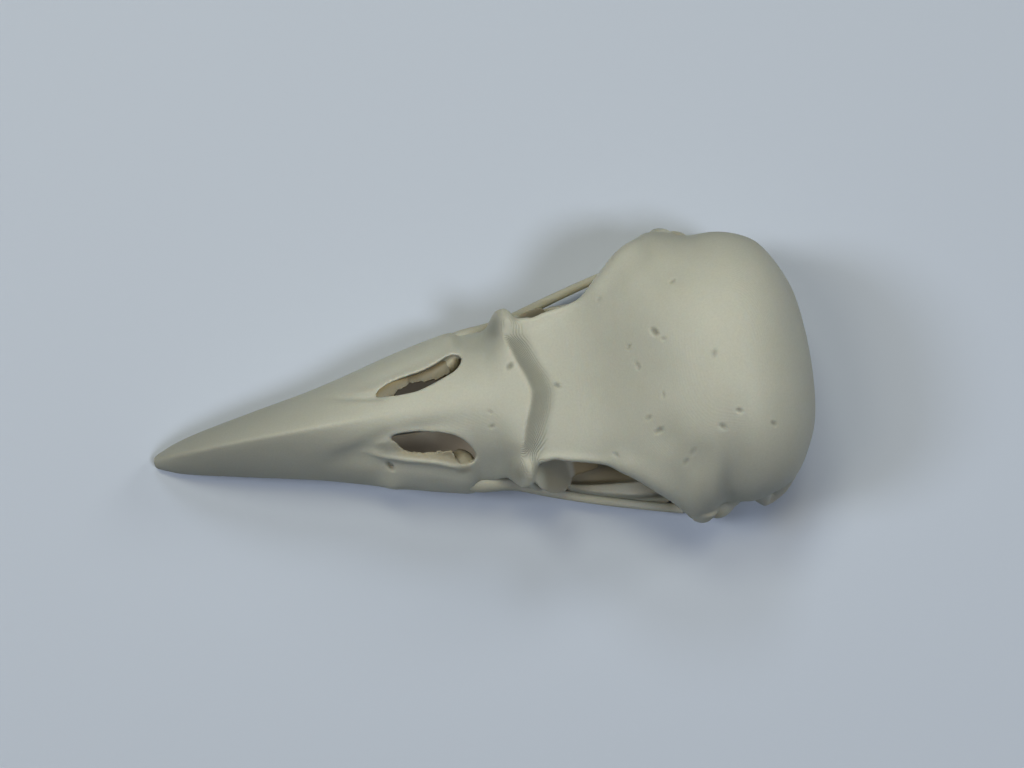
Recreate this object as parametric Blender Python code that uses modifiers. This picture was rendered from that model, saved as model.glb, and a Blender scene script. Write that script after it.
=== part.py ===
# A raven's skull without its lower jaw, made in matt ivory plastic at life size and parted into its bones.
# It lies on the tip of its bill and its two quadrates, with the bill toward -X and its right side toward +Y.
# Sizes are in millimetres: s runs back from the tip of the bill, y across and z up from the table.

import math

import bmesh
import bpy
import numpy as np
from mathutils import Matrix, Vector

MM = 0.001
LENGTH = 110.9            # tip of the bill to the back of the skull
GAP = 0.3                 # clearance along every seam between two bones
AROUND = 40               # faces round one cross-section of the skull
SOLVER = "MANIFOLD"       # the exact one leaves open edges where the thin cuts meet
VOXEL = 0.45              # grid that melts the lumps of a small bone together

# Outer form, each size keyed by its station s
HALF_WIDTH = {0: 0.8, 1.5: 1.35, 4: 2.1, 8: 3.2, 12: 4.3, 20: 6.0, 28: 7.6, 36: 9.6, 44: 11.7, 50: 13.1,
              53.6: 13.75, 55.0: 12.8, 57: 12.1, 60: 12.4, 64: 12.6, 66.5: 11.8, 69: 12.1, 72.3: 12.8,
              75.4: 14.1, 77.2: 15.5, 79: 17.2, 82: 20.1, 85.6: 22.4, 88: 23.7, 91: 23.4, 94: 22.6,
              97: 22.4, 100: 21.8, 104: 20.3, 107: 17.4, 109: 13.6, 110.3: 9.7, 110.8: 6.6, 110.9: 4.6}
LEFT_TRIM = {0: 0.0, 62.8: 0.0, 64.4: 1.2, 66: 0.95, 70.4: 0.65, 74: 0.7, 77: 1.2, 79.2: 1.8, 81.3: 2.1,
             83: 2.0, 85: 1.5, 87: 0.6, 89: 0.1, 91: 0.0, 110.9: 0.0}    # how much narrower the left side is
TOP = {0: 1.9, 1.5: 4.0, 5: 7.5, 10: 11.2, 20: 16.0, 30: 18.9, 40: 20.6, 50: 21.9, 60: 23.5, 65: 24.1,
       67: 22.3, 69: 21.5, 72: 22.0, 76: 24.0, 80: 27.0, 85: 31.2, 90: 34.2, 94: 35.4, 97: 35.5, 100: 34.5,
       105: 30.6, 108: 25.4, 110: 21.0, 110.9: 17.6}
BOTTOM = {0: 0.4, 1: 0.0, 3: 0.8, 8: 2.6, 14: 3.8, 24: 4.6, 40: 5.0, 56: 5.2, 57.4: 14.4, 60: 16.8,
          64: 17.9, 80.5: 17.9, 82.5: 12.6, 84.5: 8.4, 88: 5.8, 92: 4.8, 100: 5.6, 104: 7.2, 107: 9.4,
          109: 11.0, 110.9: 13.6}
WIDEST = {0: 1.1, 4: 2.0, 10: 3.8, 20: 5.1, 40: 5.8, 54: 6.4, 57.4: 16.4, 60: 18.4, 64: 19.9, 72: 20.1,
          78: 20.2, 82: 19.6, 86: 17.6, 90: 16.2, 96: 15.5, 110.9: 15.6}
FULLNESS = {0: 2.0, 8: 1.8, 24: 1.6, 44: 1.62, 56: 1.9, 64: 2.3, 72: 2.3, 84: 2.15, 96: 2.25, 110.9: 2.3}

# Hollows of the bill
WALL = 1.4                # bone left over the nasal cavity
CAVITY = (38.0, 62.2)     # front and back of the nasal cavity
PALATE_TOP = 6.8          # top of the shelf under the nasal cavity
FISSURE = 4.4             # half-width of the cleft between the two palate shelves
NARIS_INNER = {40.8: 4.4, 42: 3.6, 46: 3.4, 49.5: 3.8, 52: 4.9, 54: 6.3, 55.3: 7.9}
NARIS_OUTER = {40.8: 4.4, 42: 5.4, 46: 6.9, 51: 8.3, 53.6: 9.1, 54.8: 8.9, 55.3: 7.9}
NARIS_LOW = 9.8           # the nostril's upright walls end above the palate shelf
NARIS_HIGH = 26.0
JAW_END = 58.5            # the palate's cleft and the seam above the maxillas end behind the jaw
CLEFT_HEIGHTS = (3.0, 7.5)
SCOOP = ((24.0, 0.0, 4.6), (17.0, 5.0, 1.9))    # centre and radii of the hollow under the palate's front

# Seams between the bones of the roof
PREMAXILLA_END = 40.0
MAXILLA_TOP = 12.8
HINGE_APEX = 65.2         # the bill meets the forehead in a shallow V, apex at the back
HINGE_SIDE = 61.2         # where the V leaves the roof on each side
HINGE_LOW = 15.0
HINGE_REACH = 13.0        # half-width of the V
BRAINCASE_FRONT = 82.0
BEYOND = (30.0, -2.0, 45.0)    # half-width, low and high of the cutting blocks, which reach past the skull

# Braincase, on its right side: path and radii of each spur, then hollows by centre and radii
SPURS = {"postorbital": (((90.2, 21.6, 17.6), (89.7, 22.9, 15.2), (88.7, 23.5, 12.2)), (2.2, 1.75, 0.5)),
         "zygomatic": (((95.2, 20.2, 14.0), (93.2, 22.2, 11.4), (91.6, 22.9, 9.6)), (2.2, 1.5, 0.4)),
         "paroccipital": (((99.2, 18.6, 13.0), (100.4, 21.2, 11.0), (101.1, 23.2, 9.6)), (3.0, 1.8, 0.3))}
CONDYLE = ((104.4, 0.0, 6.6), 1.6)
FORAMEN = ((107.2, 0.0, 9.4), (5.6, 3.7, 3.4))
FORAMEN_AIM = (0.75, 0.0, -0.66)
EAR = ((97.0, 21.4, 9.6), (2.5, 3.6, 3.8))

# Orbits
ORBIT_CENTRE = (76.5, 14.9, 11.5)
ORBIT_RADII = (12.0, 13.2, 8.9)
ORBIT_LEAN = 9.0          # degrees that the vault leans to the middle

# Middle plate
SEPTUM_FRONT = 62.9
SEPTUM_SHOULDER = 80.4    # behind it the plate's upper edge runs down the front of the braincase
SEPTUM_BACK = 83.8
SEPTUM_THICK = 1.4
SEPTUM_LOW = 8.0
ROSTRUM_RADIUS = 1.35
FENESTRA = (77.6, 14.2, 2.5)

# Cheek and palate
LACRIMAL_KNOB = ((62.3, 13.2, 21.3), (1.8, 1.6, 1.7))
LACRIMAL_RIM = ((62.3, 13.5, 21.3), (63.0, 13.6, 18.6), (65.6, 14.2, 13.6), (68.3, 14.9, 9.8))
LACRIMAL_RADII = (1.3, 1.1, 0.95, 0.9)
LACRIMAL_PLATE = ((62.4, 18.6), (63.6, 18.6), (66.2, 13.6), (69.3, 9.1), (68.1, 9.1), (65.0, 13.6))
LACRIMAL_SIDES = (10.8, 14.0)
JUGAL_PATH = {53.6: (12.85, 5.9), 56: (12.95, 5.7), 60: (13.3, 5.3), 66: (15.3, 5.1), 72: (17.3, 5.0),
              80: (19.6, 4.9), 88.0: (21.5, 4.8)}
JUGAL_RADIUS = {53.6: 1.0, 60: 1.0, 67: 0.78, 88.0: 0.72}
PALATINE_INNER = {40.15: 2.9, 58: 2.9, 64: 3.0, 76: 2.6, 84: 2.4}
PALATINE_OUTER = {40.15: 4.1, 57: 4.1, 62: 7.0, 66: 12.6, 70: 15.7, 74.5: 16.8, 80: 18.1, 82.4: 17.4,
                  84: 7.0}
PALATINE_HEIGHT = 5.4
PALATINE_THICK = 1.0
CREST_HEIGHT = 2.4        # rise of the palatine's outer edge over its plate
CREST_START = 0.62        # share of the plate's width where that rise begins
PALATINE_DISH = 1.1       # depth of the plate's hollow, times u (1 - u) across it
PTERYGOID_ENDS = ((83.6, 3.9, 5.9), (89.2, 13.2, 4.4))
PTERYGOID_RADII = (1.1, 0.85, 1.0)
PTERYGOID_ARCH = 0.3
VOMER_PATH = ((45.5, 0.0, 6.4), (52.0, 0.0, 6.9), (SEPTUM_FRONT - GAP, 0.0, SEPTUM_LOW - 0.2))
VOMER_RADII = (0.55, 0.8, 0.9)
# Quadrate, on the right side: lumps by centre and radii, branches by path and radii
QUADRATE_BODY = ((89.2, 18.2, 4.9), (2.4, 4.4, 3.3))
QUADRATE_LUMPS = (((88.6, 20.4, 1.8), (2.1, 1.9, 1.8)), ((89.4, 15.8, 1.8), (1.9, 2.2, 1.8)),
                  ((90.3, 22.2, 6.2), (2.2, 1.9, 2.3)))
QUADRATE_BRANCHES = ((((89.4, 18.6, 5.5), (91.4, 19.2, 8.4), (93.4, 19.6, 11.5)), (2.0, 1.7, 1.6)),
                     (((88.4, 16.4, 6.4), (86.2, 13.2, 8.2), (84.4, 10.4, 9.6)), (1.7, 1.2, 0.6)))

SHADES = {"premaxilla": (182, 182, 168), "nasal": (190, 190, 174), "maxilla": (172, 172, 158),
          "frontal": (190, 191, 175), "braincase": (196, 197, 181), "septum": (168, 164, 148),
          "lacrimal": (184, 184, 168), "jugal": (172, 170, 154), "palatine": (166, 162, 146),
          "pterygoid": (166, 162, 146), "quadrate": (174, 172, 156), "vomer": (160, 154, 138)}
ROUGHNESS = 0.62


def clear_scene():
    for old in list(bpy.data.objects):
        bpy.data.objects.remove(old)
    collection = bpy.data.collections.new("raven_skull")
    bpy.context.scene.collection.children.link(collection)
    return collection


COLLECTION = clear_scene()


def place(s, y, z):
    # world position of a point given by its station, side and height
    return Vector(((s - LENGTH / 2) * MM, y * MM, z * MM))


def mirrored(points, side):
    return [(s, side * y, z) for s, y, z in points]


def along(keys, s):
    # smooth curve through the keyed sizes that doesn't overshoot between two keys
    stations = np.array(sorted(keys), float)
    values = np.array([keys[k] for k in sorted(keys)], float)
    step = np.diff(stations)
    rise = np.diff(values, axis=0) / (step if values.ndim == 1 else step[:, None])
    before, after = rise[:-1], rise[1:]
    product = before * after
    total = np.where(np.abs(before + after) < 1e-9, 1.0, before + after)
    inner = np.where(product > 0, 2 * product / total, 0.0)
    slope = np.concatenate([rise[:1], inner, rise[-1:]])
    s = np.asarray(s, float)
    i = np.clip(np.searchsorted(stations, s, side="right") - 1, 0, len(step) - 1)
    width = step[i]
    t = np.clip((s - stations[i]) / width, 0.0, 1.0)
    if values.ndim > 1:
        width, t = width[..., None], t[..., None]
    start = values[i] * (1 - t) ** 2 * (1 + 2 * t) + slope[i] * width * t * (1 - t) ** 2
    end = values[i + 1] * t ** 2 * (3 - 2 * t) - slope[i + 1] * width * t ** 2 * (1 - t)
    return start + end


def new_object(name, mesh):
    obj = bpy.data.objects.new(name, mesh)
    COLLECTION.objects.link(obj)
    return obj


def mesh_object(name, bm):
    bmesh.ops.recalc_face_normals(bm, faces=bm.faces)
    mesh = bpy.data.meshes.new(name)
    bm.to_mesh(mesh)
    bm.free()
    return new_object(name, mesh)


def loft(name, rings):
    # closed tube through rings of equal count, each a list of world points, with a flat cap at both ends
    bm = bmesh.new()
    rows = [[bm.verts.new(point) for point in ring] for ring in rings]
    count = len(rows[0])
    for here, there in zip(rows, rows[1:]):
        for i in range(count):
            j = (i + 1) % count
            bm.faces.new((here[i], here[j], there[j], there[i]))
    bm.faces.new(rows[0])
    bm.faces.new(rows[-1])
    return mesh_object(name, bm)


def section(s, grow=0.0, low=None):
    # one cross-section: two half superellipses that share the greatest width, for the upper and lower face
    half = along(HALF_WIDTH, s) + grow
    widest = along(WIDEST, s)
    top = along(TOP, s) + grow
    bottom = (along(BOTTOM, s) if low is None else low) - grow
    widest = min(max(widest, bottom + 0.3), top - 0.3)
    power = 2 / along(FULLNESS, s)
    ring = []
    for i in range(AROUND):
        angle = 2 * math.pi * (i + 0.5) / AROUND
        side, rise = math.cos(angle), math.sin(angle)
        height = top - widest if rise > 0 else widest - bottom
        trim = along(LEFT_TRIM, s) if side < 0 else 0.0
        y = (half - trim) * math.copysign(abs(side) ** power, side)
        z = widest + height * math.copysign(abs(rise) ** power, rise)
        ring.append(place(s, y, z))
    return ring


def stations_between(start, end, step):
    count = max(1, round((end - start) / step))
    return [start + (end - start) * i / count for i in range(count)]


def skull_form(name, grow=0.0):
    # outer form of bill, forehead and braincase as one solid
    stops = [0, 0.35, 1.0, 2.2]
    stops += stations_between(4, 52, 4)
    stops += stations_between(52, 58, 0.9)
    stops += stations_between(58, 80, 2)
    stops += stations_between(80, 88, 1.3)
    stops += stations_between(88, 106, 2.2)
    stops += stations_between(106, 110, 1.0)
    stops += [110.0, 110.5, 110.8, LENGTH]
    return loft(name, [section(s, grow) for s in stops])


def ball(name, centre, radii, lean=0.0, aim=None, segments=24):
    # ellipsoid, leaned in degrees about the skull's long axis or with its first radius aimed along a vector
    bm = bmesh.new()
    bmesh.ops.create_uvsphere(bm, u_segments=segments, v_segments=segments * 2 // 3, radius=MM)
    bmesh.ops.scale(bm, vec=Vector(radii), verts=bm.verts)
    turn = Matrix.Rotation(math.radians(lean), 4, "X")
    if aim is not None:
        turn = Vector(aim).to_track_quat("X", "Z").to_matrix().to_4x4()
    bmesh.ops.transform(bm, matrix=Matrix.Translation(place(*centre)) @ turn, verts=bm.verts)
    return mesh_object(name, bm)


def block(name, low, high):
    # box between two corners
    bm = bmesh.new()
    bmesh.ops.create_cube(bm, size=1.0)
    a, b = place(*low), place(*high)
    bmesh.ops.scale(bm, vec=b - a, verts=bm.verts)
    bmesh.ops.translate(bm, vec=(a + b) / 2, verts=bm.verts)
    return mesh_object(name, bm)


def prism(name, outline, low, high, across="y"):
    # outline extruded from low to high: (s, z) points across y, or (s, y) points across z
    bm = bmesh.new()
    ends = []
    for level in (low, high):
        points = [(s, level, v) if across == "y" else (s, v, level) for s, v in outline]
        ends.append([bm.verts.new(place(*p)) for p in points])
    bm.faces.new(ends[0])
    bm.faces.new(ends[1])
    for i in range(len(outline)):
        j = (i + 1) % len(outline)
        bm.faces.new((ends[0][i], ends[0][j], ends[1][j], ends[1][i]))
    return mesh_object(name, bm)


def bend(points, count):
    # evenly spread points of the smooth curve through a few points
    steps = np.linspace(0, len(points) - 1, count)
    return along(dict(enumerate(points)), steps)


def rod(name, points, radii, resolution=2):
    # round bar through points with a radius at each, made as a bevelled curve and then a closed mesh
    curve = bpy.data.curves.new(name, "CURVE")
    curve.dimensions = "3D"
    curve.bevel_depth = MM
    curve.bevel_resolution = resolution
    curve.use_fill_caps = True
    spline = curve.splines.new("POLY")
    spline.points.add(len(points) - 1)
    for point, where, radius in zip(spline.points, points, radii):
        point.co = (*place(*where), 1.0)
        point.radius = radius
    source = new_object(name + "_curve", curve)
    mesh = bpy.data.meshes.new_from_object(source.evaluated_get(bpy.context.evaluated_depsgraph_get()))
    matrix = source.matrix_world.copy()
    bpy.data.objects.remove(source)
    bm = bmesh.new()
    bm.from_mesh(mesh)
    bmesh.ops.remove_doubles(bm, verts=bm.verts, dist=MM * 0.01)
    obj = mesh_object(name, bm)
    obj.matrix_world = matrix
    return obj


def horn(name, points, radii):
    # bony spur: a rod that bends smoothly through its points and thins to a rounded tip
    count = 3 * len(points)
    return rod(name, bend(points, count), bend(radii, count))


def apply_modifiers(obj):
    graph = bpy.context.evaluated_depsgraph_get()
    mesh = bpy.data.meshes.new_from_object(obj.evaluated_get(graph))
    obj.modifiers.clear()
    obj.data = mesh


def keep_largest(obj):
    # keeps only the closed surface that fills the largest box
    bm = bmesh.new()
    bm.from_mesh(obj.data)
    islands = split_islands(bm)
    islands.sort(key=island_size, reverse=True)
    scraps = [face for island in islands[1:] for face in island]
    bmesh.ops.delete(bm, geom=scraps, context="FACES")
    bm.to_mesh(obj.data)
    bm.free()


def split_islands(bm):
    # lists of faces joined by shared edges
    bm.faces.ensure_lookup_table()
    seen = set()
    islands = []
    for face in bm.faces:
        if face in seen:
            continue
        seen.add(face)
        island = []
        stack = [face]
        while stack:
            here = stack.pop()
            island.append(here)
            for edge in here.edges:
                for other in edge.link_faces:
                    if other not in seen:
                        seen.add(other)
                        stack.append(other)
        islands.append(island)
    return islands


def island_size(island):
    points = np.array([vert.co for face in island for vert in face.verts])
    return float(np.prod(np.ptp(points, axis=0)))


def combine(obj, others, operation):
    # Boolean of an object with a group of others, which are removed afterwards
    group = bpy.data.collections.new("cutters")
    for other in others:
        group.objects.link(other)
    modifier = obj.modifiers.new("combine", "BOOLEAN")
    modifier.operation = operation
    modifier.solver = SOLVER
    modifier.operand_type = "COLLECTION"
    modifier.collection = group
    apply_modifiers(obj)
    for other in others:
        bpy.data.objects.remove(other)
    bpy.data.collections.remove(group)
    return obj


def union(obj, others):
    combine(obj, others, "UNION")
    keep_largest(obj)
    return obj


def cut(obj, others):
    for other in others:
        combine(obj, [other], "DIFFERENCE")
    return obj


def soften(obj, share):
    # melts joined lumps into one smooth form, and keeps a share of its faces
    keep_largest(obj)
    remesh = obj.modifiers.new("melt", "REMESH")
    remesh.mode = "VOXEL"
    remesh.voxel_size = VOXEL * MM
    smooth = obj.modifiers.new("smooth", "SMOOTH")
    smooth.iterations = 4
    decimate = obj.modifiers.new("thin_out", "DECIMATE")
    decimate.ratio = share
    apply_modifiers(obj)
    return obj


def finish(obj, bone):
    # one closed body with its own ivory material, shaded smooth over its round faces
    keep_largest(obj)
    bm = bmesh.new()
    bm.from_mesh(obj.data)
    bmesh.ops.triangulate(bm, faces=[face for face in bm.faces if len(face.verts) > 4])
    bm.to_mesh(obj.data)
    bm.free()
    material = bpy.data.materials.new(obj.name + "_ivory")
    material.use_nodes = True
    shader = material.node_tree.nodes["Principled BSDF"]
    linear = [(channel / 255) ** 2.2 for channel in SHADES[bone]]
    shader.inputs["Base Color"].default_value = (*linear, 1.0)
    shader.inputs["Roughness"].default_value = ROUGHNESS
    shader.inputs["Metallic"].default_value = 0.0
    obj.data.materials.clear()
    obj.data.materials.append(material)
    obj.data.shade_smooth()
    obj.data.set_sharp_from_angle(angle=math.radians(40))


def nostril(side):
    # curved teardrop seen from above, cut straight down through the roof of the bill
    front, back = min(NARIS_INNER), max(NARIS_INNER)
    stops = [front + (back - front) * (1 - math.cos(math.pi * i / 12)) / 2 for i in range(13)]
    outline = [(s, side * along(NARIS_INNER, s)) for s in stops]
    outline += [(s, side * along(NARIS_OUTER, s)) for s in stops[-2:0:-1]]
    return prism("nostril", outline, NARIS_LOW, NARIS_HIGH, across="z")


def hollow_bill(skull):
    # nasal cavity open behind, two slanted nostrils, the cleft palate and the scooped palate in front of it
    start, end = CAVITY
    rings = [section(s, -WALL, PALATE_TOP - WALL) for s in stations_between(start, end, 2.2) + [end]]
    cavity = loft("cavity", rings)
    low, high = CLEFT_HEIGHTS
    cleft = block("cleft", (PREMAXILLA_END, -FISSURE, low), (JAW_END, FISSURE, high))
    nostrils = [nostril(side) for side in (-1, 1)]
    cut(skull, [cavity, cleft, ball("scoop", *SCOOP)] + nostrils)


def hollow_orbits(skull):
    for side in (-1, 1):
        centre = mirrored([ORBIT_CENTRE], side)[0]
        cut(skull, [ball("orbit", centre, ORBIT_RADII, lean=side * ORBIT_LEAN, segments=36)])


def braincase_additions(grow=0.0):
    # spurs of the braincase on both sides and the knob under the hole for the spine
    centre, radius = CONDYLE
    pieces = [ball("condyle", centre, (radius + grow,) * 3, segments=16)]
    for side in (-1, 1):
        for name, (path, radii) in SPURS.items():
            pieces.append(horn(name, mirrored(path, side), [radius + grow for radius in radii]))
    return pieces


def hollow_braincase(skull):
    # the hole for the spine, and the ear opening on each side
    pieces = [ball("foramen", *FORAMEN, aim=FORAMEN_AIM)]
    for side in (-1, 1):
        pieces.append(ball("ear", mirrored(EAR[:1], side)[0], EAR[1], segments=16))
    cut(skull, pieces)


def part_roof(skull):
    # thin cuts across the bill, above the cheeks, along the hinge and in front of the braincase
    half = GAP / 2
    wide, low, high = BEYOND
    cuts = [block("cut", (seam - half, -wide, low), (seam + half, wide, high))
            for seam in (PREMAXILLA_END, BRAINCASE_FRONT)]
    floor, roof = MAXILLA_TOP - half, MAXILLA_TOP + half
    cuts.append(block("cut", (PREMAXILLA_END, -wide, floor), (JAW_END, wide, roof)))
    outline = [(HINGE_SIDE - half, -HINGE_REACH), (HINGE_SIDE + half, -HINGE_REACH), (HINGE_APEX + half, 0.0),
               (HINGE_SIDE + half, HINGE_REACH), (HINGE_SIDE - half, HINGE_REACH), (HINGE_APEX - half, 0.0)]
    cuts.append(prism("cut", outline, HINGE_LOW, high, across="z"))
    cut(skull, cuts)


def middle_station(obj):
    points = np.array([vert.co for vert in obj.data.vertices])
    return (points.min(axis=0) + points.max(axis=0)) / 2 / MM + np.array([LENGTH / 2, 0.0, 0.0])


def separate(skull):
    # one object per closed surface that the thin cuts leave
    pieces = []
    count = 1
    while len(pieces) < count:
        bm = bmesh.new()
        bm.from_mesh(skull.data)
        islands = split_islands(bm)
        count = len(islands)
        others = [face for i, island in enumerate(islands) if i != len(pieces) for face in island]
        bmesh.ops.delete(bm, geom=others, context="FACES")
        mesh = bpy.data.meshes.new("bone")
        bm.to_mesh(mesh)
        bm.free()
        pieces.append(new_object("bone", mesh))
    bpy.data.objects.remove(skull)
    return pieces


def name_roof(pieces):
    # the roof's bones told apart by the middle of their boxes
    for piece in pieces:
        s, y, z = middle_station(piece)
        if s < PREMAXILLA_END:
            bone = "premaxilla"
        elif s > BRAINCASE_FRONT:
            bone = "braincase"
        elif abs(y) > 2.0:
            bone = "maxilla"
        elif s > 64.0:
            bone = "frontal"
        else:
            bone = "nasal"
        suffix = {"maxilla": "_right" if y > 0 else "_left"}.get(bone, "")
        piece.name = bone + suffix
        finish(piece, bone)


def build_roof():
    skull = skull_form("skull")
    hollow_bill(skull)
    hollow_orbits(skull)
    union(skull, braincase_additions())
    hollow_braincase(skull)
    part_roof(skull)
    name_roof(separate(skull))


def build_septum():
    # upright plate between the orbits with a window in it, on the round bar of the rostrum
    clearance = GAP + 0.05
    stops = stations_between(SEPTUM_FRONT, SEPTUM_SHOULDER, 3.5)
    stops += stations_between(SEPTUM_SHOULDER, SEPTUM_BACK, 0.85) + [SEPTUM_BACK]
    upper = [(s - GAP * (s >= SEPTUM_SHOULDER), along(BOTTOM, s) - clearance) for s in stops]
    lower = [(SEPTUM_BACK, SEPTUM_LOW - 0.6), (SEPTUM_FRONT, SEPTUM_LOW)]
    septum = prism("septum", upper + lower, -SEPTUM_THICK / 2, SEPTUM_THICK / 2)
    bar = [(SEPTUM_FRONT, 0.0, SEPTUM_LOW), (74.0, 0.0, SEPTUM_LOW - 0.3), (84.0, 0.0, SEPTUM_LOW - 0.7)]
    union(septum, [rod("rostrum", bar, [ROSTRUM_RADIUS * 0.8, ROSTRUM_RADIUS, ROSTRUM_RADIUS])])
    s, z, radius = FENESTRA
    cut(septum, [ball("fenestra", (s, 0.0, z), (radius, 4.0, radius * 0.8))])
    steep = skull_form("grown", GAP)
    steep.data.transform(Matrix.Translation((-GAP * MM, 0.0, 0.0)))
    cut(septum, [skull_form("grown", GAP), steep])
    finish(septum, "septum")


def build_vomer():
    finish(rod("vomer", VOMER_PATH, VOMER_RADII), "vomer")


def build_lacrimal(side, name):
    # knob beside the hinge, with the plate that closes the front of the orbit below it
    centre, radii = LACRIMAL_KNOB
    knob = ball(name, mirrored([centre], side)[0], radii, segments=20)
    rim = rod("rim", bend(mirrored(LACRIMAL_RIM, side), 8), bend(LACRIMAL_RADII, 8))
    inner, outer = sorted(side * y for y in LACRIMAL_SIDES)
    plate = prism("plate", LACRIMAL_PLATE, inner, outer)
    union(knob, [rim, plate])
    soften(knob, 0.22)
    cut(knob, [skull_form("grown", GAP)])
    finish(knob, "lacrimal")


def jugal_rod(name, side, grow=0.0):
    stops = sorted(JUGAL_PATH)
    where = stations_between(stops[0] - grow, stops[-1], 3.0) + [stops[-1] + grow]
    points = [(s, side * y, z) for s, (y, z) in zip(where, along(JUGAL_PATH, where))]
    return rod(name, points, along(JUGAL_RADIUS, where) + grow, resolution=2)


def build_jugal(side, name):
    # cheek bar, its front end let into the step at the back of the upper jaw
    bar = jugal_rod(name, side)
    cut(bar, [skull_form("grown", GAP * 1.6)])
    finish(bar, "jugal")


def pterygoid_rod(name, side, grow=0.0):
    front, back = (Vector(end) for end in mirrored(PTERYGOID_ENDS, side))
    overrun = (back - front).normalized() * grow
    middle = (front + back) / 2 + Vector((0.0, 0.0, PTERYGOID_ARCH))
    thick, waist, thin = (radius + grow for radius in PTERYGOID_RADII)
    return rod(name, [front - overrun, middle, back + overrun], [thick, waist, thin])


def build_quadrate(side, name):
    # four-cornered bone that hinges the jaw: two condyles on the table, an ear branch and an orbit branch
    centre, radii = QUADRATE_BODY
    body = ball(name, mirrored([centre], side)[0], radii, segments=16)
    pieces = [ball("lump", mirrored([centre], side)[0], radii, segments=12)
              for centre, radii in QUADRATE_LUMPS]
    pieces += [rod("branch", mirrored(path, side), radii) for path, radii in QUADRATE_BRANCHES]
    union(body, pieces)
    soften(body, 0.14)
    cut(body, [jugal_rod("socket", side, GAP), pterygoid_rod("socket", side, GAP)])
    cut(body, [union(skull_form("grown", GAP), braincase_additions(GAP))])
    finish(body, "quadrate")


def build_palatine(side, name):
    # long strap from the bill that widens under the orbit into a plate with a raised outer crest
    stops = stations_between(40.15, 58, 4.5) + stations_between(58, 84, 2.0) + [84.0]
    across = [0.0, 0.25, 0.5, 0.7, 0.8, 0.9, 1.0]
    rings = []
    for s in stops:
        inner, outer = along(PALATINE_INNER, s), along(PALATINE_OUTER, s)
        share = min(max((outer - 6.0) / 8.0, 0.0), 1.0)
        line = []
        for u in across:
            y = side * (inner + (outer - inner) * u)
            crest = CREST_HEIGHT * max((u - CREST_START) / (1 - CREST_START), 0.0) ** 1.2
            z = PALATINE_HEIGHT + share * (crest - PALATINE_DISH * u * (1 - u))
            line.append((y, z))
        upper = [place(s, y, z + PALATINE_THICK / 2) for y, z in line]
        lower = [place(s, y, z - PALATINE_THICK / 2) for y, z in reversed(line)]
        rings.append(upper + lower)
    palatine = loft(name, rings)
    cut(palatine, [pterygoid_rod("socket", side, GAP)])
    finish(palatine, "palatine")


build_roof()
build_septum()
build_vomer()
for side, suffix in ((-1, "_left"), (1, "_right")):
    build_lacrimal(side, "lacrimal" + suffix)
    build_quadrate(side, "quadrate" + suffix)
    build_palatine(side, "palatine" + suffix)
    build_jugal(side, "jugal" + suffix)
    finish(pterygoid_rod("pterygoid" + suffix, side), "pterygoid")
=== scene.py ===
import math

import bmesh
import bpy
import numpy as np
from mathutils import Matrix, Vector


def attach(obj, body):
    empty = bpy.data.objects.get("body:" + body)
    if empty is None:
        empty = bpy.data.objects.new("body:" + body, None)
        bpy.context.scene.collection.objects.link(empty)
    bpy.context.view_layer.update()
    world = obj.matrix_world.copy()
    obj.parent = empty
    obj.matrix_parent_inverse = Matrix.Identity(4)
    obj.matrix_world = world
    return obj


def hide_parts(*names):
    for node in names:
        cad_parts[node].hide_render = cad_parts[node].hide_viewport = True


# A raven's skull printed at life size in ivory plastic, lying on the tip of its bill and its two quadrates.
# Places are in millimetres: s runs back from the bill's tip, y to the skull's right, z up from the table.

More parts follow.
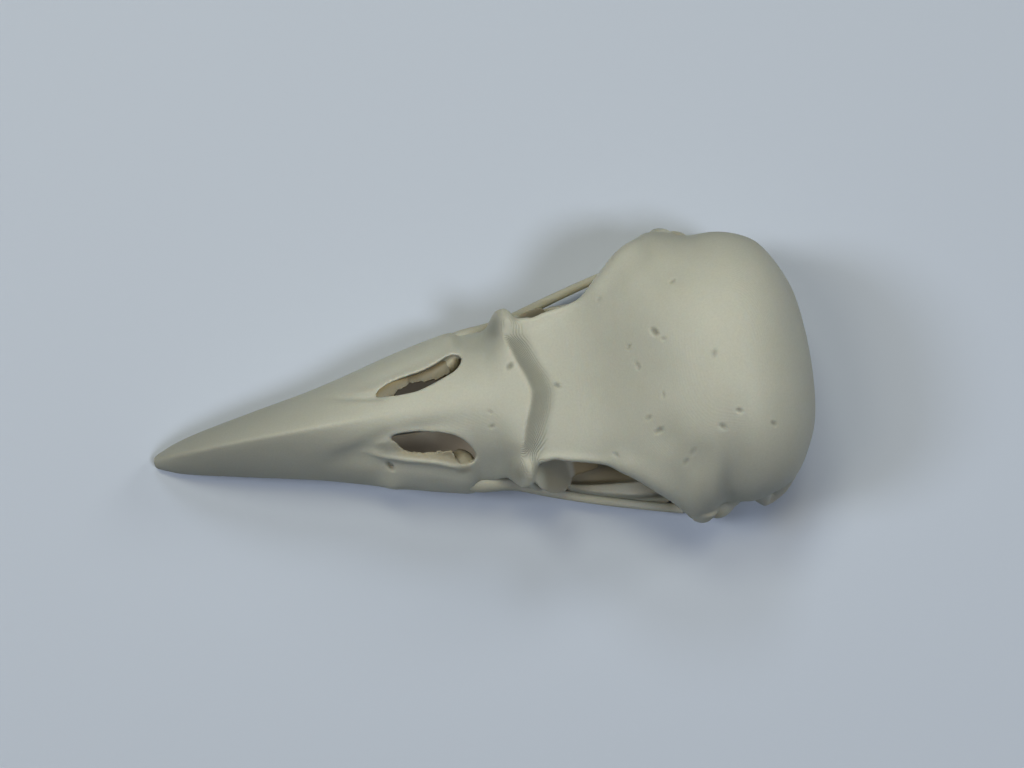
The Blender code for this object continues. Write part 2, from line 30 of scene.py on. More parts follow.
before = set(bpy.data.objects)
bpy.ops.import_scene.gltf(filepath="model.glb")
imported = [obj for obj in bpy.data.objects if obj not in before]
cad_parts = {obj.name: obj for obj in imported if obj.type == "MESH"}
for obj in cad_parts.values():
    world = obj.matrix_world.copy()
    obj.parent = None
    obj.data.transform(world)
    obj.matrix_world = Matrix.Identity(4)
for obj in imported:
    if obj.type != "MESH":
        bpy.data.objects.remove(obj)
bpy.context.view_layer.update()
mm = 0.001
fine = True

# Outer form of the skull: each size is keyed by its distance s from the tip of the bill
skull = {
    "length": 110.9,
    "halfWidth": {0: 0.9, 0.7: 1.3, 2: 1.8, 4.2: 2.65, 9: 3.8, 12: 4.4, 20: 6.0, 28: 7.6, 36: 9.6, 44: 11.7,
        50: 13.1, 53.6: 13.75, 55: 12.9, 57: 12.5, 59: 12.4, 59.8: 12.85, 60.9: 14.1, 61.9: 14.6,
        63.0: 14.4, 63.7: 13.6, 64.1: 12.9, 64.5: 12.5, 66.4: 12.3, 67.2: 12.2, 69: 12.7,
        72.3: 13.2, 75.4: 14.1, 77.2: 15.5, 79: 17.2, 82: 20.1, 85.6: 22.4, 88: 23.7, 91: 23.4,
        94: 22.6, 97: 22.4, 100: 21.8, 104: 20.3, 107: 17.4, 109: 13.6, 110.3: 9.7, 110.8: 6.6,
        110.9: 4.6},
    # how much narrower the left side is
    "leftTrim": {0: 0.0, 63.4: 0.0, 64.4: 1.2, 66: 1.25, 68: 1.25, 70.4: 1.1, 74: 0.9, 77: 1.2, 79.2: 1.8,
        81.3: 2.1, 83: 2.0, 85: 1.5, 87: 0.6, 89: 0.1, 91: 0.2, 92.2: 1.0, 93.5: 1.4, 95.0: 1.0,
        97.0: 0.3, 99.0: 0.0, 110.9: 0.0},
    "top": {0: 2.0, 1.5: 4.0, 5: 7.5, 10: 11.2, 20: 16.0, 30: 18.9, 40: 20.6, 50: 21.9, 60: 23.5, 65: 24.3,
        69: 24.3, 72: 24.9, 76: 26.4, 80: 28.6, 85: 31.7, 90: 34.2, 94: 35.35, 97: 35.4, 100: 34.5,
        105: 30.6, 108: 25.4, 110: 21.0, 110.9: 17.6},
    "bottom": {0: 0.4, 1: 0.0, 3: 0.8, 8: 2.6, 14: 3.7, 24: 4.3, 40: 4.8, 56: 5.1, 57.2: 9.4, 59: 10.2,
        60.5: 13.4, 62: 16.8, 64: 17.9, 80.5: 17.9, 82.5: 12.6, 84.5: 8.4, 88: 5.8, 92: 4.8,
        100: 5.6, 104: 7.2, 107: 9.4, 109: 11.0, 110.9: 13.6},
    "widest": {0: 1.1, 4: 2.0, 10: 3.7, 20: 4.8, 40: 5.6, 54: 6.3, 57.2: 11.4, 59: 12.6, 60.5: 15.6,
        62: 18.7, 64: 19.9, 72: 20.1, 78: 20.2, 82: 19.6, 86: 17.6, 90: 16.2, 96: 15.5, 110.9: 15.6},
    # powers of the section: roof rounds it near the midline, flank near the sides
    "roof": {0: 1.6, 6: 1.3, 24: 1.3, 36: 1.4, 46: 1.7, 54: 1.75, 57: 2.0, 61: 2.1, 64: 2.7, 76: 3.0,
        84: 2.6, 92: 2.45, 110.9: 2.4},
    "flank": {0: 1.9, 6: 1.5, 24: 1.45, 34: 1.55, 40: 2.0, 48: 2.1, 53: 1.8, 57: 1.35, 61: 1.25, 65: 1.7,
        76: 1.8, 84: 1.8, 88: 1.62, 94: 1.6, 99: 1.9, 110.9: 2.2},
    "least": 0.3,  # least height above and below the widest line
    "blur": {"halfWidth": 0.35, "leftTrim": 0.4, "top": 1.2, "bottom": 0.35, "widest": 0.9, "roof": 2.5,
             "flank": 2.5},
    "rows": ((0, 4, 0.25), (4, 36, 0.6), (36, 56, 0.35), (56, 72, 0.3), (72, 106, 0.6), (106, 110.9, 0.2)),
    "around": 280,
    "voxel": 0.3 if fine else 0.6,
    "triangles": 190000,
}


def through(keys, s):
    # smooth curve through keyed sizes that doesn't overshoot: cubic pieces whose slope at each key is the
    # harmonic mean of the slopes on its two sides
    at = np.array(sorted(keys), float)
    value = np.array([keys[k] for k in sorted(keys)], float)
    step = np.diff(at)
    rise = np.diff(value, axis=0) / (step if value.ndim == 1 else step[:, None])
    product = rise[:-1] * rise[1:]
    total = np.where(np.abs(rise[:-1] + rise[1:]) < 1e-9, 1.0, rise[:-1] + rise[1:])
    slope = np.concatenate([rise[:1], np.where(product > 0, 2 * product / total, 0.0), rise[-1:]])
    s = np.asarray(s, float)
    i = np.clip(np.searchsorted(at, s, side="right") - 1, 0, len(step) - 1)
    width = step[i]
    t = np.clip((s - at[i]) / width, 0.0, 1.0)
    if value.ndim > 1:
        width = width[..., None]
        t = t[..., None]
    start = value[i] * (1 - t) ** 2 * (1 + 2 * t) + slope[i] * width * t * (1 - t) ** 2
    end = value[i + 1] * t ** 2 * (3 - 2 * t) - slope[i + 1] * width * t ** 2 * (1 - t)
    return start + end


def sizeAt(name, s):
    # keyed size of the skull, rounded off by a bell-shaped average along its length
    step, blur = 0.1, skull["blur"][name]
    places = np.arange(0.0, skull["length"] + step / 2, step)
    line = through(skull[name], places)
    reach = int(4 * blur / step)
    ends = (2 * line[0] - line[reach:0:-1], 2 * line[-1] - line[-2:-reach - 2:-1])
    weight = np.exp(-0.5 * (np.arange(-reach, reach + 1) * step / blur) ** 2)
    eased = np.convolve(np.concatenate([ends[0], line, ends[1]]), weight / weight.sum(), mode="valid")
    return np.interp(s, places, eased)


def halfAt(s, y):
    # half the skull's width on the side where y lies
    return sizeAt("halfWidth", s) - np.where(y < 0, sizeAt("leftTrim", s), 0.0)


def smoothStep(low, high, x):
    t = np.clip((x - low) / (high - low), 0.0, 1.0)
    return t * t * (3 - 2 * t)


def span(ends, x):
    # 1 between two smooth steps, 0 before the first and after the second
    return smoothStep(*ends[0], x) * (1 - smoothStep(*ends[1], x))


def bell(distance, width):
    return np.exp(-(distance / width) ** 2)


def signedPower(x, power):
    return np.sign(x) * np.abs(x) ** power


def grid(*parts):
    # one array of points from coordinates of any matching shapes
    return np.stack(np.broadcast_arrays(*parts), axis=-1)


def mirrored(path, side):
    # places given for the right side, on the left for side -1
    return [(s, side * y, z) for s, y, z in path]


def skullRings(s, grow=0.0, low=None, around=96):
    # two half arches that share the greatest width: y = a cos^(2/roof), z = widest + height sin^(2/flank)
    s = np.asarray(s, float)[:, None]
    angle = 2 * np.pi * (np.arange(around) + 0.5)[None, :] / around
    half = halfAt(s, np.cos(angle)) + grow
    top = sizeAt("top", s) + grow
    bottom = (sizeAt("bottom", s) if low is None else low + 0 * s) - grow
    widest = np.minimum(np.maximum(sizeAt("widest", s), bottom + skull["least"]), top - skull["least"])
    rise = signedPower(np.sin(angle), 2 / sizeAt("flank", s))
    y = half * signedPower(np.cos(angle), 2 / sizeAt("roof", s))
    z = widest + np.where(rise > 0, top - widest, widest - bottom) * rise
    return grid(s, y, z)


def solid(name, rings):
    # closed mesh on a grid of rings, each end drawn to a point in the middle of its ring, faces outward
    rows, columns = rings.shape[:2]
    points = np.concatenate([rings.reshape(-1, 3), rings[0].mean(0)[None], rings[-1].mean(0)[None]])
    i = np.arange(rows - 1)[:, None] * columns
    j = np.arange(columns)[None, :]
    after = (j + 1) % columns
    quads = np.stack([i + j, i + after, i + columns + after, i + columns + j], axis=-1).reshape(-1, 4)
    first = np.arange(columns)
    following = (first + 1) % columns
    last = (rows - 1) * columns
    caps = [np.stack([following, first, np.full(columns, rows * columns)], axis=-1),
            np.stack([last + first, last + following, np.full(columns, rows * columns + 1)], axis=-1)]
    a, b, c, d = (points[quads[:, k]] for k in range(4))
    volume = np.einsum("ij,ij->i", a, np.cross(b, c)).sum() + np.einsum("ij,ij->i", a, np.cross(c, d)).sum()
    faces = quads.tolist() + caps[0].tolist() + caps[1].tolist()
    if volume < 0:
        faces = [face[::-1] for face in faces]
    mesh = bpy.data.meshes.new(name)
    place = (points - np.array([skull["length"] / 2, 0.0, 0.0])) * mm
    mesh.from_pydata(place.tolist(), [], faces)
    mesh.update()
    piece = bpy.data.objects.new(name, mesh)
    bpy.context.scene.collection.objects.link(piece)
    return piece


def bar(name, path, across, thick=None, power=1.0, around=28, rows=40, blunt=0.0):
    # bar carried along a smooth path: each ring is centre + across cos^p + thick sin^p, square to the path;
    # blunt rounds both ends off over that many millimetres
    path = np.array(path, float)
    knots = np.arange(len(path))
    u = np.linspace(0, len(path) - 1, rows)
    centre = through(dict(zip(knots, path)), u)
    across = through(dict(zip(knots, np.array(across, float))), u)[:, None, None]
    thick = across if thick is None else through(dict(zip(knots, np.array(thick, float))), u)[:, None, None]
    if blunt:
        run = np.concatenate([[0], np.cumsum(np.linalg.norm(np.diff(centre, axis=0), axis=1))])
        end = np.clip(np.minimum(run, run[-1] - run) / blunt, 0, 1)
        taper = np.sqrt(np.maximum(1 - (1 - end) ** 2, 0.0004))[:, None, None]
        across = across * taper
        thick = thick * taper
    along = np.gradient(centre, axis=0)
    along /= np.linalg.norm(along, axis=1, keepdims=True)
    side = np.cross(along, np.array([0.0, 0.0, 1.0]))
    steep = np.linalg.norm(side, axis=1) < 0.05
    side[steep] = np.array([0.0, 1.0, 0.0])
    side /= np.linalg.norm(side, axis=1, keepdims=True)
    rise = np.cross(side, along)
    angle = 2 * np.pi * np.arange(around)[None, :, None] / around
    rings = (centre[:, None] + side[:, None] * across * signedPower(np.cos(angle), power)
             + rise[:, None] * thick * signedPower(np.sin(angle), power))
    return solid(name, rings)


def ball(name, centre, radii, turn=(0.0, 0.0, 0.0), around=36):
    # ellipsoid: a half circle turned round its own long axis, then turned by the three angles in degrees
    rise = np.linspace(0.03, np.pi - 0.03, around // 2)[:, None]
    angle = 2 * np.pi * np.arange(around)[None, :] / around
    rings = grid(-np.cos(rise), np.sin(rise) * np.cos(angle), np.sin(rise) * np.sin(angle))
    rings = rings * np.array(radii, float)
    for axis, degrees in enumerate(turn):
        c, n = math.cos(math.radians(degrees)), math.sin(math.radians(degrees))
        u, v = [k for k in range(3) if k != axis]
        sign = -1 if axis == 1 else 1
        rings[..., u], rings[..., v] = (rings[..., u] * c - sign * rings[..., v] * n,
                                        sign * rings[..., u] * n + rings[..., v] * c)
    return solid(name, rings + np.array(centre, float))


def plate(name, upper, lower):
    # slab between two grids of points of one size, closed round its edge
    return solid(name, np.concatenate([upper, lower[:, ::-1]], axis=1))


def modified(piece, kind, **settings):
    # runs one modifier and keeps its result in the mesh
    step = piece.modifiers.new(kind.lower(), kind)
    for key, value in settings.items():
        setattr(step, key, value)
    mesh = bpy.data.meshes.new_from_object(piece.evaluated_get(bpy.context.evaluated_depsgraph_get()))
    piece.modifiers.clear()
    piece.data = mesh
    return piece


def carve(piece, cutters):
    # closed cutters are taken out one after another
    for cutter in cutters:
        modified(piece, "BOOLEAN", operation="DIFFERENCE", solver="MANIFOLD", object=cutter)
        bpy.data.objects.remove(cutter)
    return piece


def gather(piece, others):
    # lays other closed solids into the same mesh, for melt to fuse
    bm = bmesh.new()
    bm.from_mesh(piece.data)
    for other in others:
        bm.from_mesh(other.data)
        bpy.data.objects.remove(other)
    bm.to_mesh(piece.data)
    bm.free()
    return piece


def melt(piece, voxel, rounds):
    # fuses overlapping solids on a fine grid, as the printer does, and rounds their edges
    modified(piece, "REMESH", mode="VOXEL", voxel_size=voxel * mm)
    return modified(piece, "SMOOTH", iterations=rounds, factor=0.5)


def thinned(piece, triangles):
    # fewer faces where the form is plain
    count = sum(len(face.vertices) - 2 for face in piece.data.polygons)
    if count > triangles:
        modified(piece, "DECIMATE", ratio=triangles / count)
    return piece


def pointsOf(piece):
    # places and normals of the vertices, in the skull's own millimetres
    count = len(piece.data.vertices)
    place = np.zeros(count * 3, np.float32)
    normal = np.zeros(count * 3, np.float32)
    piece.data.vertices.foreach_get("co", place)
    piece.data.vertex_normals.foreach_get("vector", normal)
    place = place.reshape(-1, 3) / mm + np.array([skull["length"] / 2, 0, 0])
    return place, normal.reshape(-1, 3).astype(float)


def movePoints(piece, points):
    place = (points - np.array([skull["length"] / 2, 0, 0])) * mm
    piece.data.vertices.foreach_set("co", place.astype(np.float32).ravel())
    piece.data.update()


def store(piece, name, values):
    # one number for each vertex, which the material reads
    attribute = piece.data.attributes.new(name, "FLOAT", "POINT")
    attribute.data.foreach_set("value", np.asarray(values, np.float32))


# Relief of the roof: where the bill hinges on the forehead, round the nostrils, and on the braincase
relief = {
    # s of the hinge's edge by |y|, the drop behind it on each side, and its ramp
    "ridge": {0: 65.2, 2.5: 64.5, 5: 63.5, 7: 62.9, 9: 62.3, 12: 61.2, 16: 59.5},
    "ridgeDrop": {-1: 3.0, 1: 3.4},
    "ridgeLean": 5.0,  # |y| from which each side has its own drop
    "ridgeSlope": 2.7,
    "ridgeEase": 1.5,
    "ridgeBack": (6.9, 24.0),
    "lip": (0.06, 0.6, 1.3),  # height of the edge's lip, how far before the edge, width
    "ears": ((9.0, 12.8), (63.8, 67.0)),  # |y| where the lacrimals' ears begin, s where they end
    # |y| of the nostril's groove, its depth and width, each on the left and the right
    "groove": {31: 5.3, 33.5: 4.75, 35.6: 4.3, 38.5: 3.7, 41.5: 3.2},
    "grooveSize": ((0.35, 0.5), (1.1, 0.55)),
    "grooveSpan": ((30.0, 38.0), (41.0, 43.0)),
    # |y| of the nostril's outer rim on each side, how far it stands up, and the trough outside it
    "rim": {-1: {36.0: 5.2, 38.6: 5.75, 41.2: 6.42, 44.3: 7.27, 47.9: 8.15, 49.6: 8.72, 51.2: 9.3, 53.0: 9.9},
        1: {36.0: 4.5, 41.0: 5.0, 42.9: 5.7, 45.2: 6.2, 47.8: 6.65, 49.8: 7.3, 51.2: 7.85, 53.0: 8.8}},
    "rimHeight": {-1: 0.42, 1: 0.12},
    "rimWidth": 0.45,
    "rimTrough": (0.75, 1.3, 0.8),  # share of the rim's height, distance and width
    "rimSpan": ((35.0, 40.0), (50.5, 54.0)),
    # the left nostril's floor lies a step below its rim
    "floorDrop": 0.75,
    "floorEdges": ((0.15, 1.0), (0.2, 0.8)),
    "floorSpan": ((40.5, 44.0), (51.0, 52.5)),
    # brim along the orbit: height, distance from the edge, and its width and share at the front and behind
    "brim": 1.0,
    "brimInset": 0.6,
    "brimWidth": (0.5, 2.0),
    "brimShare": (0.4, 1.3),
    "brimGrows": (74.0, 79.0),
    "brimSpan": ((64.5, 66.5), (84.0, 88.0)),
    "upward": 1.6,  # how fast these fade on the flanks
    "ends": ((0.0, 6.0), (109.5, 110.9)),  # and on the tip and the back
    # swellings and hollows: s, |y| (y where it is on the left only), z, reach along each, height
    "forms": ((58.0, 10.4, 18.0, 2.6, 2.2, 6.0, -0.4),  # hollow between nostril and lacrimal
        (62.7, 12.8, 22.0, 1.7, 1.7, 5.0, 0.42),  # top of the lacrimal's ear
        (61.6, 9.6, 21.0, 1.9, 1.6, 5.0, -0.45),  # and the hollow inside it
        (84.0, -11.0, 29.0, 2.6, 3.0, 6.0, -0.4),  # hollow before the left postorbital
        (88.6, -16.3, 24.0, 3.4, 3.4, 8.0, -0.75),  # flat over it
        (93.8, -19.8, 17.0, 2.4, 3.0, 5.0, 0.6),  # fuller behind it
        (41.0, -7.7, 14.0, 1.9, 1.0, 3.0, -0.4),  # hollow round the hole under the left nostril
        (40.8, -10.1, 9.6, 2.6, 1.4, 3.0, 0.8),  # bulge under it
        (35.0, -5.6, 15.5, 4.5, 1.5, 6.0, -0.75),  # trough before the left nostril
        (39.0, -5.2, 17.0, 2.4, 1.2, 5.0, -0.35),
        (47.0, -2.9, 20.0, 5.5, 1.3, 5.0, -0.5),  # soft inner rim of the left nostril
        (52.5, 12.0, 12.0, 3.0, 1.5, 3.0, 0.2),  # corner of the bill
        (75.0, 5.0, 26.0, 5.0, 2.5, 8.0, -0.12),  # saddle of the forehead
        (88.3, 14.5, 30.0, 3.2, 3.0, 5.0, -0.45),  # dent over the orbit's back
        (94.5, 22.5, 19.0, 4.0, 4.0, 4.5, -0.25),  # temporal hollow
        (98.5, 21.0, 24.0, 5.0, 4.0, 5.0, 0.3),  # swelling behind it
        (110.0, 0.0, 24.0, 3.0, 6.0, 6.0, 0.25),  # swelling over the small brain
        (106.0, 15.0, 18.0, 3.0, 3.0, 6.0, -0.3),  # dents beside that
        (96.0, 12.5, 5.0, 4.0, 4.0, 3.0, -1.3),  # hollows each side of the skull's base
        (101.0, 5.0, 5.0, 4.0, 2.0, 3.0, -0.5)),
}


def hingeReach(s, across):
    # the hinge's drop stops short of the lacrimals' ears, but behind them it runs out to the orbits
    begin, end = relief["ears"]
    return 1 - smoothStep(*begin, across) * (1 - smoothStep(*end, s))


def hingeDrop(s, y):
    # ramp behind the hinge's edge, drop (1 - (1 - past/(slope k))^k), which the forehead slowly makes good
    across = np.abs(y)
    past = s - through(relief["ridge"], across)
    ease = relief["ridgeEase"]
    ramp = 1 - (1 - np.clip(past / (relief["ridgeSlope"] * ease), 0, 1)) ** ease
    left, right = relief["ridgeDrop"][-1], relief["ridgeDrop"][1]
    lean = (right - left) / 2 * smoothStep(0, relief["ridgeLean"], across) * np.sign(y)
    drop = (left + right) / 2 + lean
    return drop * ramp * (1 - smoothStep(*relief["ridgeBack"], past)) * hingeReach(s, across)


def nostrilFloor(s, y, edges):
    # 1 on the left nostril's floor, between its outer rim and its inner edge; edges: two steps in from them
    inner = bill["naris"][-1][0]
    inside = smoothStep(*edges[0], through(relief["rim"][-1], s) + y)
    return inside * smoothStep(*edges[1], -y - through(inner, np.clip(s, min(inner), max(inner))))


def roofRelief(s, y, z, up):
    # height in mm to add along the normal, from the sums of bells and steps named in relief
    across = np.abs(y)
    high, before, width = relief["lip"]
    height = high * bell(s - through(relief["ridge"], across) + before, width) * hingeReach(s, across) * up
    depth, width = (np.where(y < 0, left, right) for left, right in relief["grooveSize"])
    groove = bell((across - through(relief["groove"], s)) / width, 1.0) * span(relief["grooveSpan"], s)
    height = height - depth * groove * up
    share, away, width = relief["rimTrough"]
    for side in (-1, 1):
        beyond = y * side - through(relief["rim"][side], s)
        lift = bell(beyond, relief["rimWidth"]) - share * bell(beyond - away, width)
        height = height + relief["rimHeight"][side] * lift * span(relief["rimSpan"], s) * up * (y * side > 0)
    step = nostrilFloor(s, y, relief["floorEdges"]) * span(relief["floorSpan"], s)
    height = height - relief["floorDrop"] * step * up
    for at, side, level, reachS, reachY, reachZ, amount in relief["forms"]:
        aside = bell(y - side if side < 0 else across - side, reachY)
        height = height + amount * bell(s - at, reachS) * aside * bell(z - level, reachZ)
    grows = smoothStep(*relief["brimGrows"], s)
    wide, share = (front + (behind - front) * grows
                   for front, behind in (relief["brimWidth"], relief["brimShare"]))
    brim = bell((across - halfAt(s, y) + relief["brimInset"]) / wide, 1.0) * share
    return height + relief["brim"] * brim * span(relief["brimSpan"], s) * up


def gridNormals(points):
    # normals of a ring grid: cross product of its two directions
    down = np.gradient(points, axis=0)
    across = np.roll(points, -1, axis=1) - np.roll(points, 1, axis=1)
    normal = np.cross(across, down)
    normal /= np.maximum(np.linalg.norm(normal, axis=2, keepdims=True), 1e-9)
    middle = points[len(points) // 2]
    outward = ((middle - middle.mean(0)) * normal[len(points) // 2]).sum()
    return normal if outward > 0 else -normal


def outerForm():
    # rings of the outer form, let down behind the hinge and then moved along their normals by the relief
    rows = [np.arange(start, end - 0.001, step) for start, end, step in skull["rows"]]
    rings = skullRings(np.concatenate(rows + [[skull["length"]]]), around=skull["around"])
    s, y, z = (rings[..., k] for k in range(3))
    top, widest = sizeAt("top", s), sizeAt("widest", s)
    rings[..., 2] = z - hingeDrop(s, y) * np.clip((z - widest) / (top - widest), 0, 1)
    normal = gridNormals(rings)
    up = np.clip(normal[..., 2] * relief["upward"], 0, 1)
    height = roofRelief(s, y, rings[..., 2], up) * span(relief["ends"], s)
    return solid("skull", rings + normal * height[..., None])


# Hollows of the bill, behind the two nostrils
bill = {
    "wall": 1.4,
    "cavity": (38.0, 57.0),
    "palateTop": 6.8,
    "cleft": (((39.8, 0, 5.4), (45, 0, 5.4), (58.6, 0, 5.4)), (2.1, 2.1, 2.1), (2.2, 2.2, 2.2), 0.4),
    "scoop": ((24.0, 0.0, 4.6), (17.0, 5.0, 1.9)),
    # inner and outer edge of the nostril on each side: s to |y|
    "naris": {-1: ({41.2: 3.6, 42.0: 3.3, 43.4: 3.04, 45.9: 3.15, 48.5: 3.59, 50.9: 4.22, 52.7: 5.07,
        54.0: 6.23, 54.7: 7.27, 55.0: 8.1},
                   {41.2: 3.6, 42.0: 3.75, 42.6: 4.21, 43.0: 4.63, 43.5: 5.3, 44.5: 5.82, 45.7: 6.2,
        47.9: 6.5, 50.9: 6.69, 51.4: 6.9, 51.8: 8.3, 52.2: 9.1, 52.9: 9.4, 53.9: 9.3,
        54.6: 8.85, 55.0: 8.1}),
        1: ({40.7: 3.9, 41.2: 3.5, 44.2: 3.02, 46.9: 3.15, 49.5: 3.82, 51.5: 4.56, 52.6: 5.02,
        53.9: 5.7, 54.7: 6.7, 55.0: 7.5},
                  {40.7: 3.9, 41.2: 4.5, 42.9: 5.3, 45.2: 5.88, 47.8: 6.3, 49.8: 6.9, 51.2: 7.5,
        52.5: 8.2, 53.6: 8.45, 54.5: 8.2, 55.0: 7.5})},
    "narisHeight": (8.2, 26.0),
    # three waves of the torn edges: height and waves per 2 pi mm, the last one swelling; and where they run
    "tear": ((0.09, 3.3), (0.06, 6.4), (0.05, 11.7)),
    "tearSwell": 1.9,
    "tearSpan": ((42.5, 44.0), (50.8, 51.4)),
    "knob": {-1: (52.8, 8.35, 14.8), 1: (52.9, 6.9, 15.5)},
    "knobRadii": {-1: (2.1, 1.5, 1.9), 1: (2.2, 1.4, 1.9)},
    "knobTurn": 42.0,
}


def torn(s, phase):
    # ragged edge of a thin wall: three sines of the distance s
    (high, waves), (lower, finer), (least, finest) = bill["tear"]
    wave = high * np.sin(s * waves + phase) + lower * np.sin(s * finer + 2 * phase)
    wave = wave + least * np.sin(s * finest) * np.sin(s * bill["tearSwell"])
    return wave * smoothStep(*bill["tearSpan"][0], s)


def nostrilCutter(side):
    # upright walls through a teardrop outline, swept from its front to its back
    inner, outer = bill["naris"][side]
    front, back = min(inner), max(inner)
    s = front + (back - front) * (1 - np.cos(np.linspace(0.02, 1, 180) * np.pi)) / 2
    s[-1] = back - 0.005
    a, b = through(inner, s), through(outer, s)
    if side < 0:
        b = b + torn(s, side) * (1 - smoothStep(*bill["tearSpan"][1], s))
    b = np.maximum(b, a + 0.03)
    low, high = bill["narisHeight"]
    corners = [grid(s, side * edge, level) for edge, level in ((a, low), (b, low), (b, high), (a, high))]
    return solid("nostril", np.stack(corners, axis=1))


def roofAt(s, y):
    # height of the outer form over a place beside the midline
    top, widest, flank = sizeAt("top", s), sizeAt("widest", s), sizeAt("flank", s)
    share = np.clip(np.abs(y) / sizeAt("halfWidth", s), 0, 1)
    return widest + (top - widest) * (1 - share ** sizeAt("roof", s)) ** (1 / flank)


# Floor of the right nostril: |y| of its torn inner edge, and how far it and the outer edge lie under the roof
shelf = {
    "edge": {40.7: 3.4, 42.5: 3.0, 43.3: 3.1, 43.9: 3.7, 44.6: 4.2, 45.6: 4.55, 46.4: 5.0, 48.4: 4.82,
        49.9: 4.85, 51.2: 5.0, 52.0: 5.3, 52.9: 5.7},
    "depth": ({40.5: 0.3, 42.0: 0.7, 43.5: 1.4, 45.5: 2.2, 48: 2.8, 51.3: 3.0, 55.0: 3.2},
              {40.5: 0.35, 43.0: 0.6, 46.0: 1.1, 51.3: 1.6, 55.0: 1.7}),
    "span": (40.6, 52.8),
    "rimEnd": 53.4,
    "least": 0.35,  # least width
    "past": 1.16,  # how far it runs on under the rim
    "bend": 1.3,
    "half": 0.26,  # half thickness, and a little more below
    "below": 0.2,
}


def nasalShelf(name):
    # z = inner + (outer - inner) v^bend from the torn edge (v = 0) to the rim (v = 1), thinned at the tear
    s = np.linspace(*shelf["span"], 280)[:, None]
    v = np.linspace(0, shelf["past"], 34)[None, :]
    edge = through(shelf["edge"], s)
    outer = bill["naris"][1][1]
    rim = np.maximum(through(outer, np.clip(s, min(outer), shelf["rimEnd"])), edge + shelf["least"])
    low, high = (roofAt(s, y) - through(depth, s) for y, depth in zip((edge, rim), shelf["depth"]))
    z = low + (high - low) * v ** shelf["bend"]
    half = shelf["half"] * np.minimum(1, 3 * np.sqrt(v) + 0.35)
    y = edge + (rim - edge) * v + torn(s, 1) * np.clip(1 - v, 0, 1) ** 3
    return plate(name, grid(s, y, z + half), grid(s, y, z - half - shelf["below"]))


# Wall between the two nostrils, which flares where it joins the roof
keel = {"span": (38.5, 57.5), "floor": 6.4, "under": 0.9, "half": 1.1, "flare": 4.2, "inset": 0.3,
        "flareSpan": (44.0, 52.0)}


def nasalKeel():
    # half = low + (roof - low) (1 - t)^4, t down
    s = np.linspace(*keel["span"], 50)[:, None]
    turn = np.linspace(0, 2 * np.pi, 80, endpoint=False)[None, :]
    top = sizeAt("top", s) - keel["under"]
    t = (1 - signedPower(np.sin(turn), 0.4)) / 2
    edge = through(bill["naris"][1][0], np.clip(s, *keel["flareSpan"]))
    roof = np.minimum(edge, keel["flare"]) - keel["inset"]
    half = keel["half"] + (roof - keel["half"]) * (1 - t) ** 4
    z = keel["floor"] + (top - keel["floor"]) * (1 - t)
    return solid("keel", grid(s, half * signedPower(np.cos(turn), 0.5), z))


# Orbits, and what stands round them
orbit = {
    "centre": (76.5, 14.9, 11.3),
    "radii": (12.0, 13.2, 8.9),
    "lean": 9.0,
    "septum": {"span": (58.5, 85.0), "half": 0.7, "low": 7.4, "least": 12.0, "into": 1.2},
    "window": ((77.6, 0, 14.2), (2.5, 4.0, 2.0)),
    # plate that closes the orbit in front: where it starts, how far it runs back and down, its inner edge,
    # and its outer edge by the share from top to foot
    "plate": {"top": (63.4, 20.4), "run": (7.0, 14.0), "inner": (2.0, 4.0), "half": 0.55,
              "edge": {-1: {0.0: 13.2, 0.12: 14.8, 0.3: 15.8, 0.5: 16.2, 0.72: 15.9, 0.9: 14.7, 1.0: 13.2},
        1: {0.0: 12.7, 0.3: 13.8, 0.6: 14.8, 0.85: 15.4, 1.0: 14.2}}},
    # leaf behind it: |y| of its edges at s = from, how fast they close in, and its height
    "leaf": {"span": (69.6, 74.9), "from": 67.5, "inner": (8.6, 0.44), "outer": (14.2, -0.2), "half": 0.34,
             "height": (8.4, 1.0, -0.08)},
    # bar under the lacrimal's ear, and how much nearer it stands on the right
    "rim": ((62.6, 12.9, 20.2), (62.7, 13.1, 17.8), (63.3, 13.7, 13.6), (64.6, 14.5, 9.6)),
    "rimRadii": (1.1, 1.05, 0.9, 0.85),
    "rimTrim": {62.6: 0.0, 62.7: 0.2, 63.3: 0.7, 64.6: 1.4},
}


def ectethmoid(side):
    # broad plate that slants down and back, wider and rounder at its foot: u down, v out
    setting = orbit["plate"]
    u = np.linspace(0, 1, 40)[:, None]
    v = np.linspace(0, 1, 30)[None, :]
    inner = setting["inner"][0] + setting["inner"][1] * u ** 2
    outer = through(setting["edge"][side], u)
    y = inner + (outer - inner) * v
    back, down = setting["run"]
    s = setting["top"][0] + back * u
    z = setting["top"][1] - down * u
    half = setting["half"] * np.sqrt(np.clip(1 - (2 * v - 1) ** 8, 0.02, 1))
    half = half * (1 - 0.5 * ((u - 0.9) / 0.1).clip(0, 1))
    tilt = np.array([down, back]) / math.hypot(down, back)
    behind = grid(s + half * tilt[0], side * y, z + half * tilt[1])
    before = grid(s - half * tilt[0], side * y, z - half * tilt[1])
    return plate("ectethmoid", behind, before)


def orbitFlake(side):
    # thin leaf of bone behind the plate: a wedge between two straight edges, y from inner to outer across u
    setting = orbit["leaf"]
    s = np.linspace(*setting["span"], 40)[:, None]
    u = np.linspace(0, 1, 16)[None, :]
    away = s - setting["from"]
    inner, outer = (start + slope * away for start, slope in (setting["inner"], setting["outer"]))
    half = setting["half"] * np.sqrt(np.clip(1 - (2 * u - 1) ** 6, 0.05, 1))
    low, lift, slope = setting["height"]
    z = low + lift * (1 - u) + slope * (s - setting["span"][0])
    y = side * (inner + (outer - inner) * u)
    return plate("flake", grid(s, y, z + half), grid(s, y, z - half))


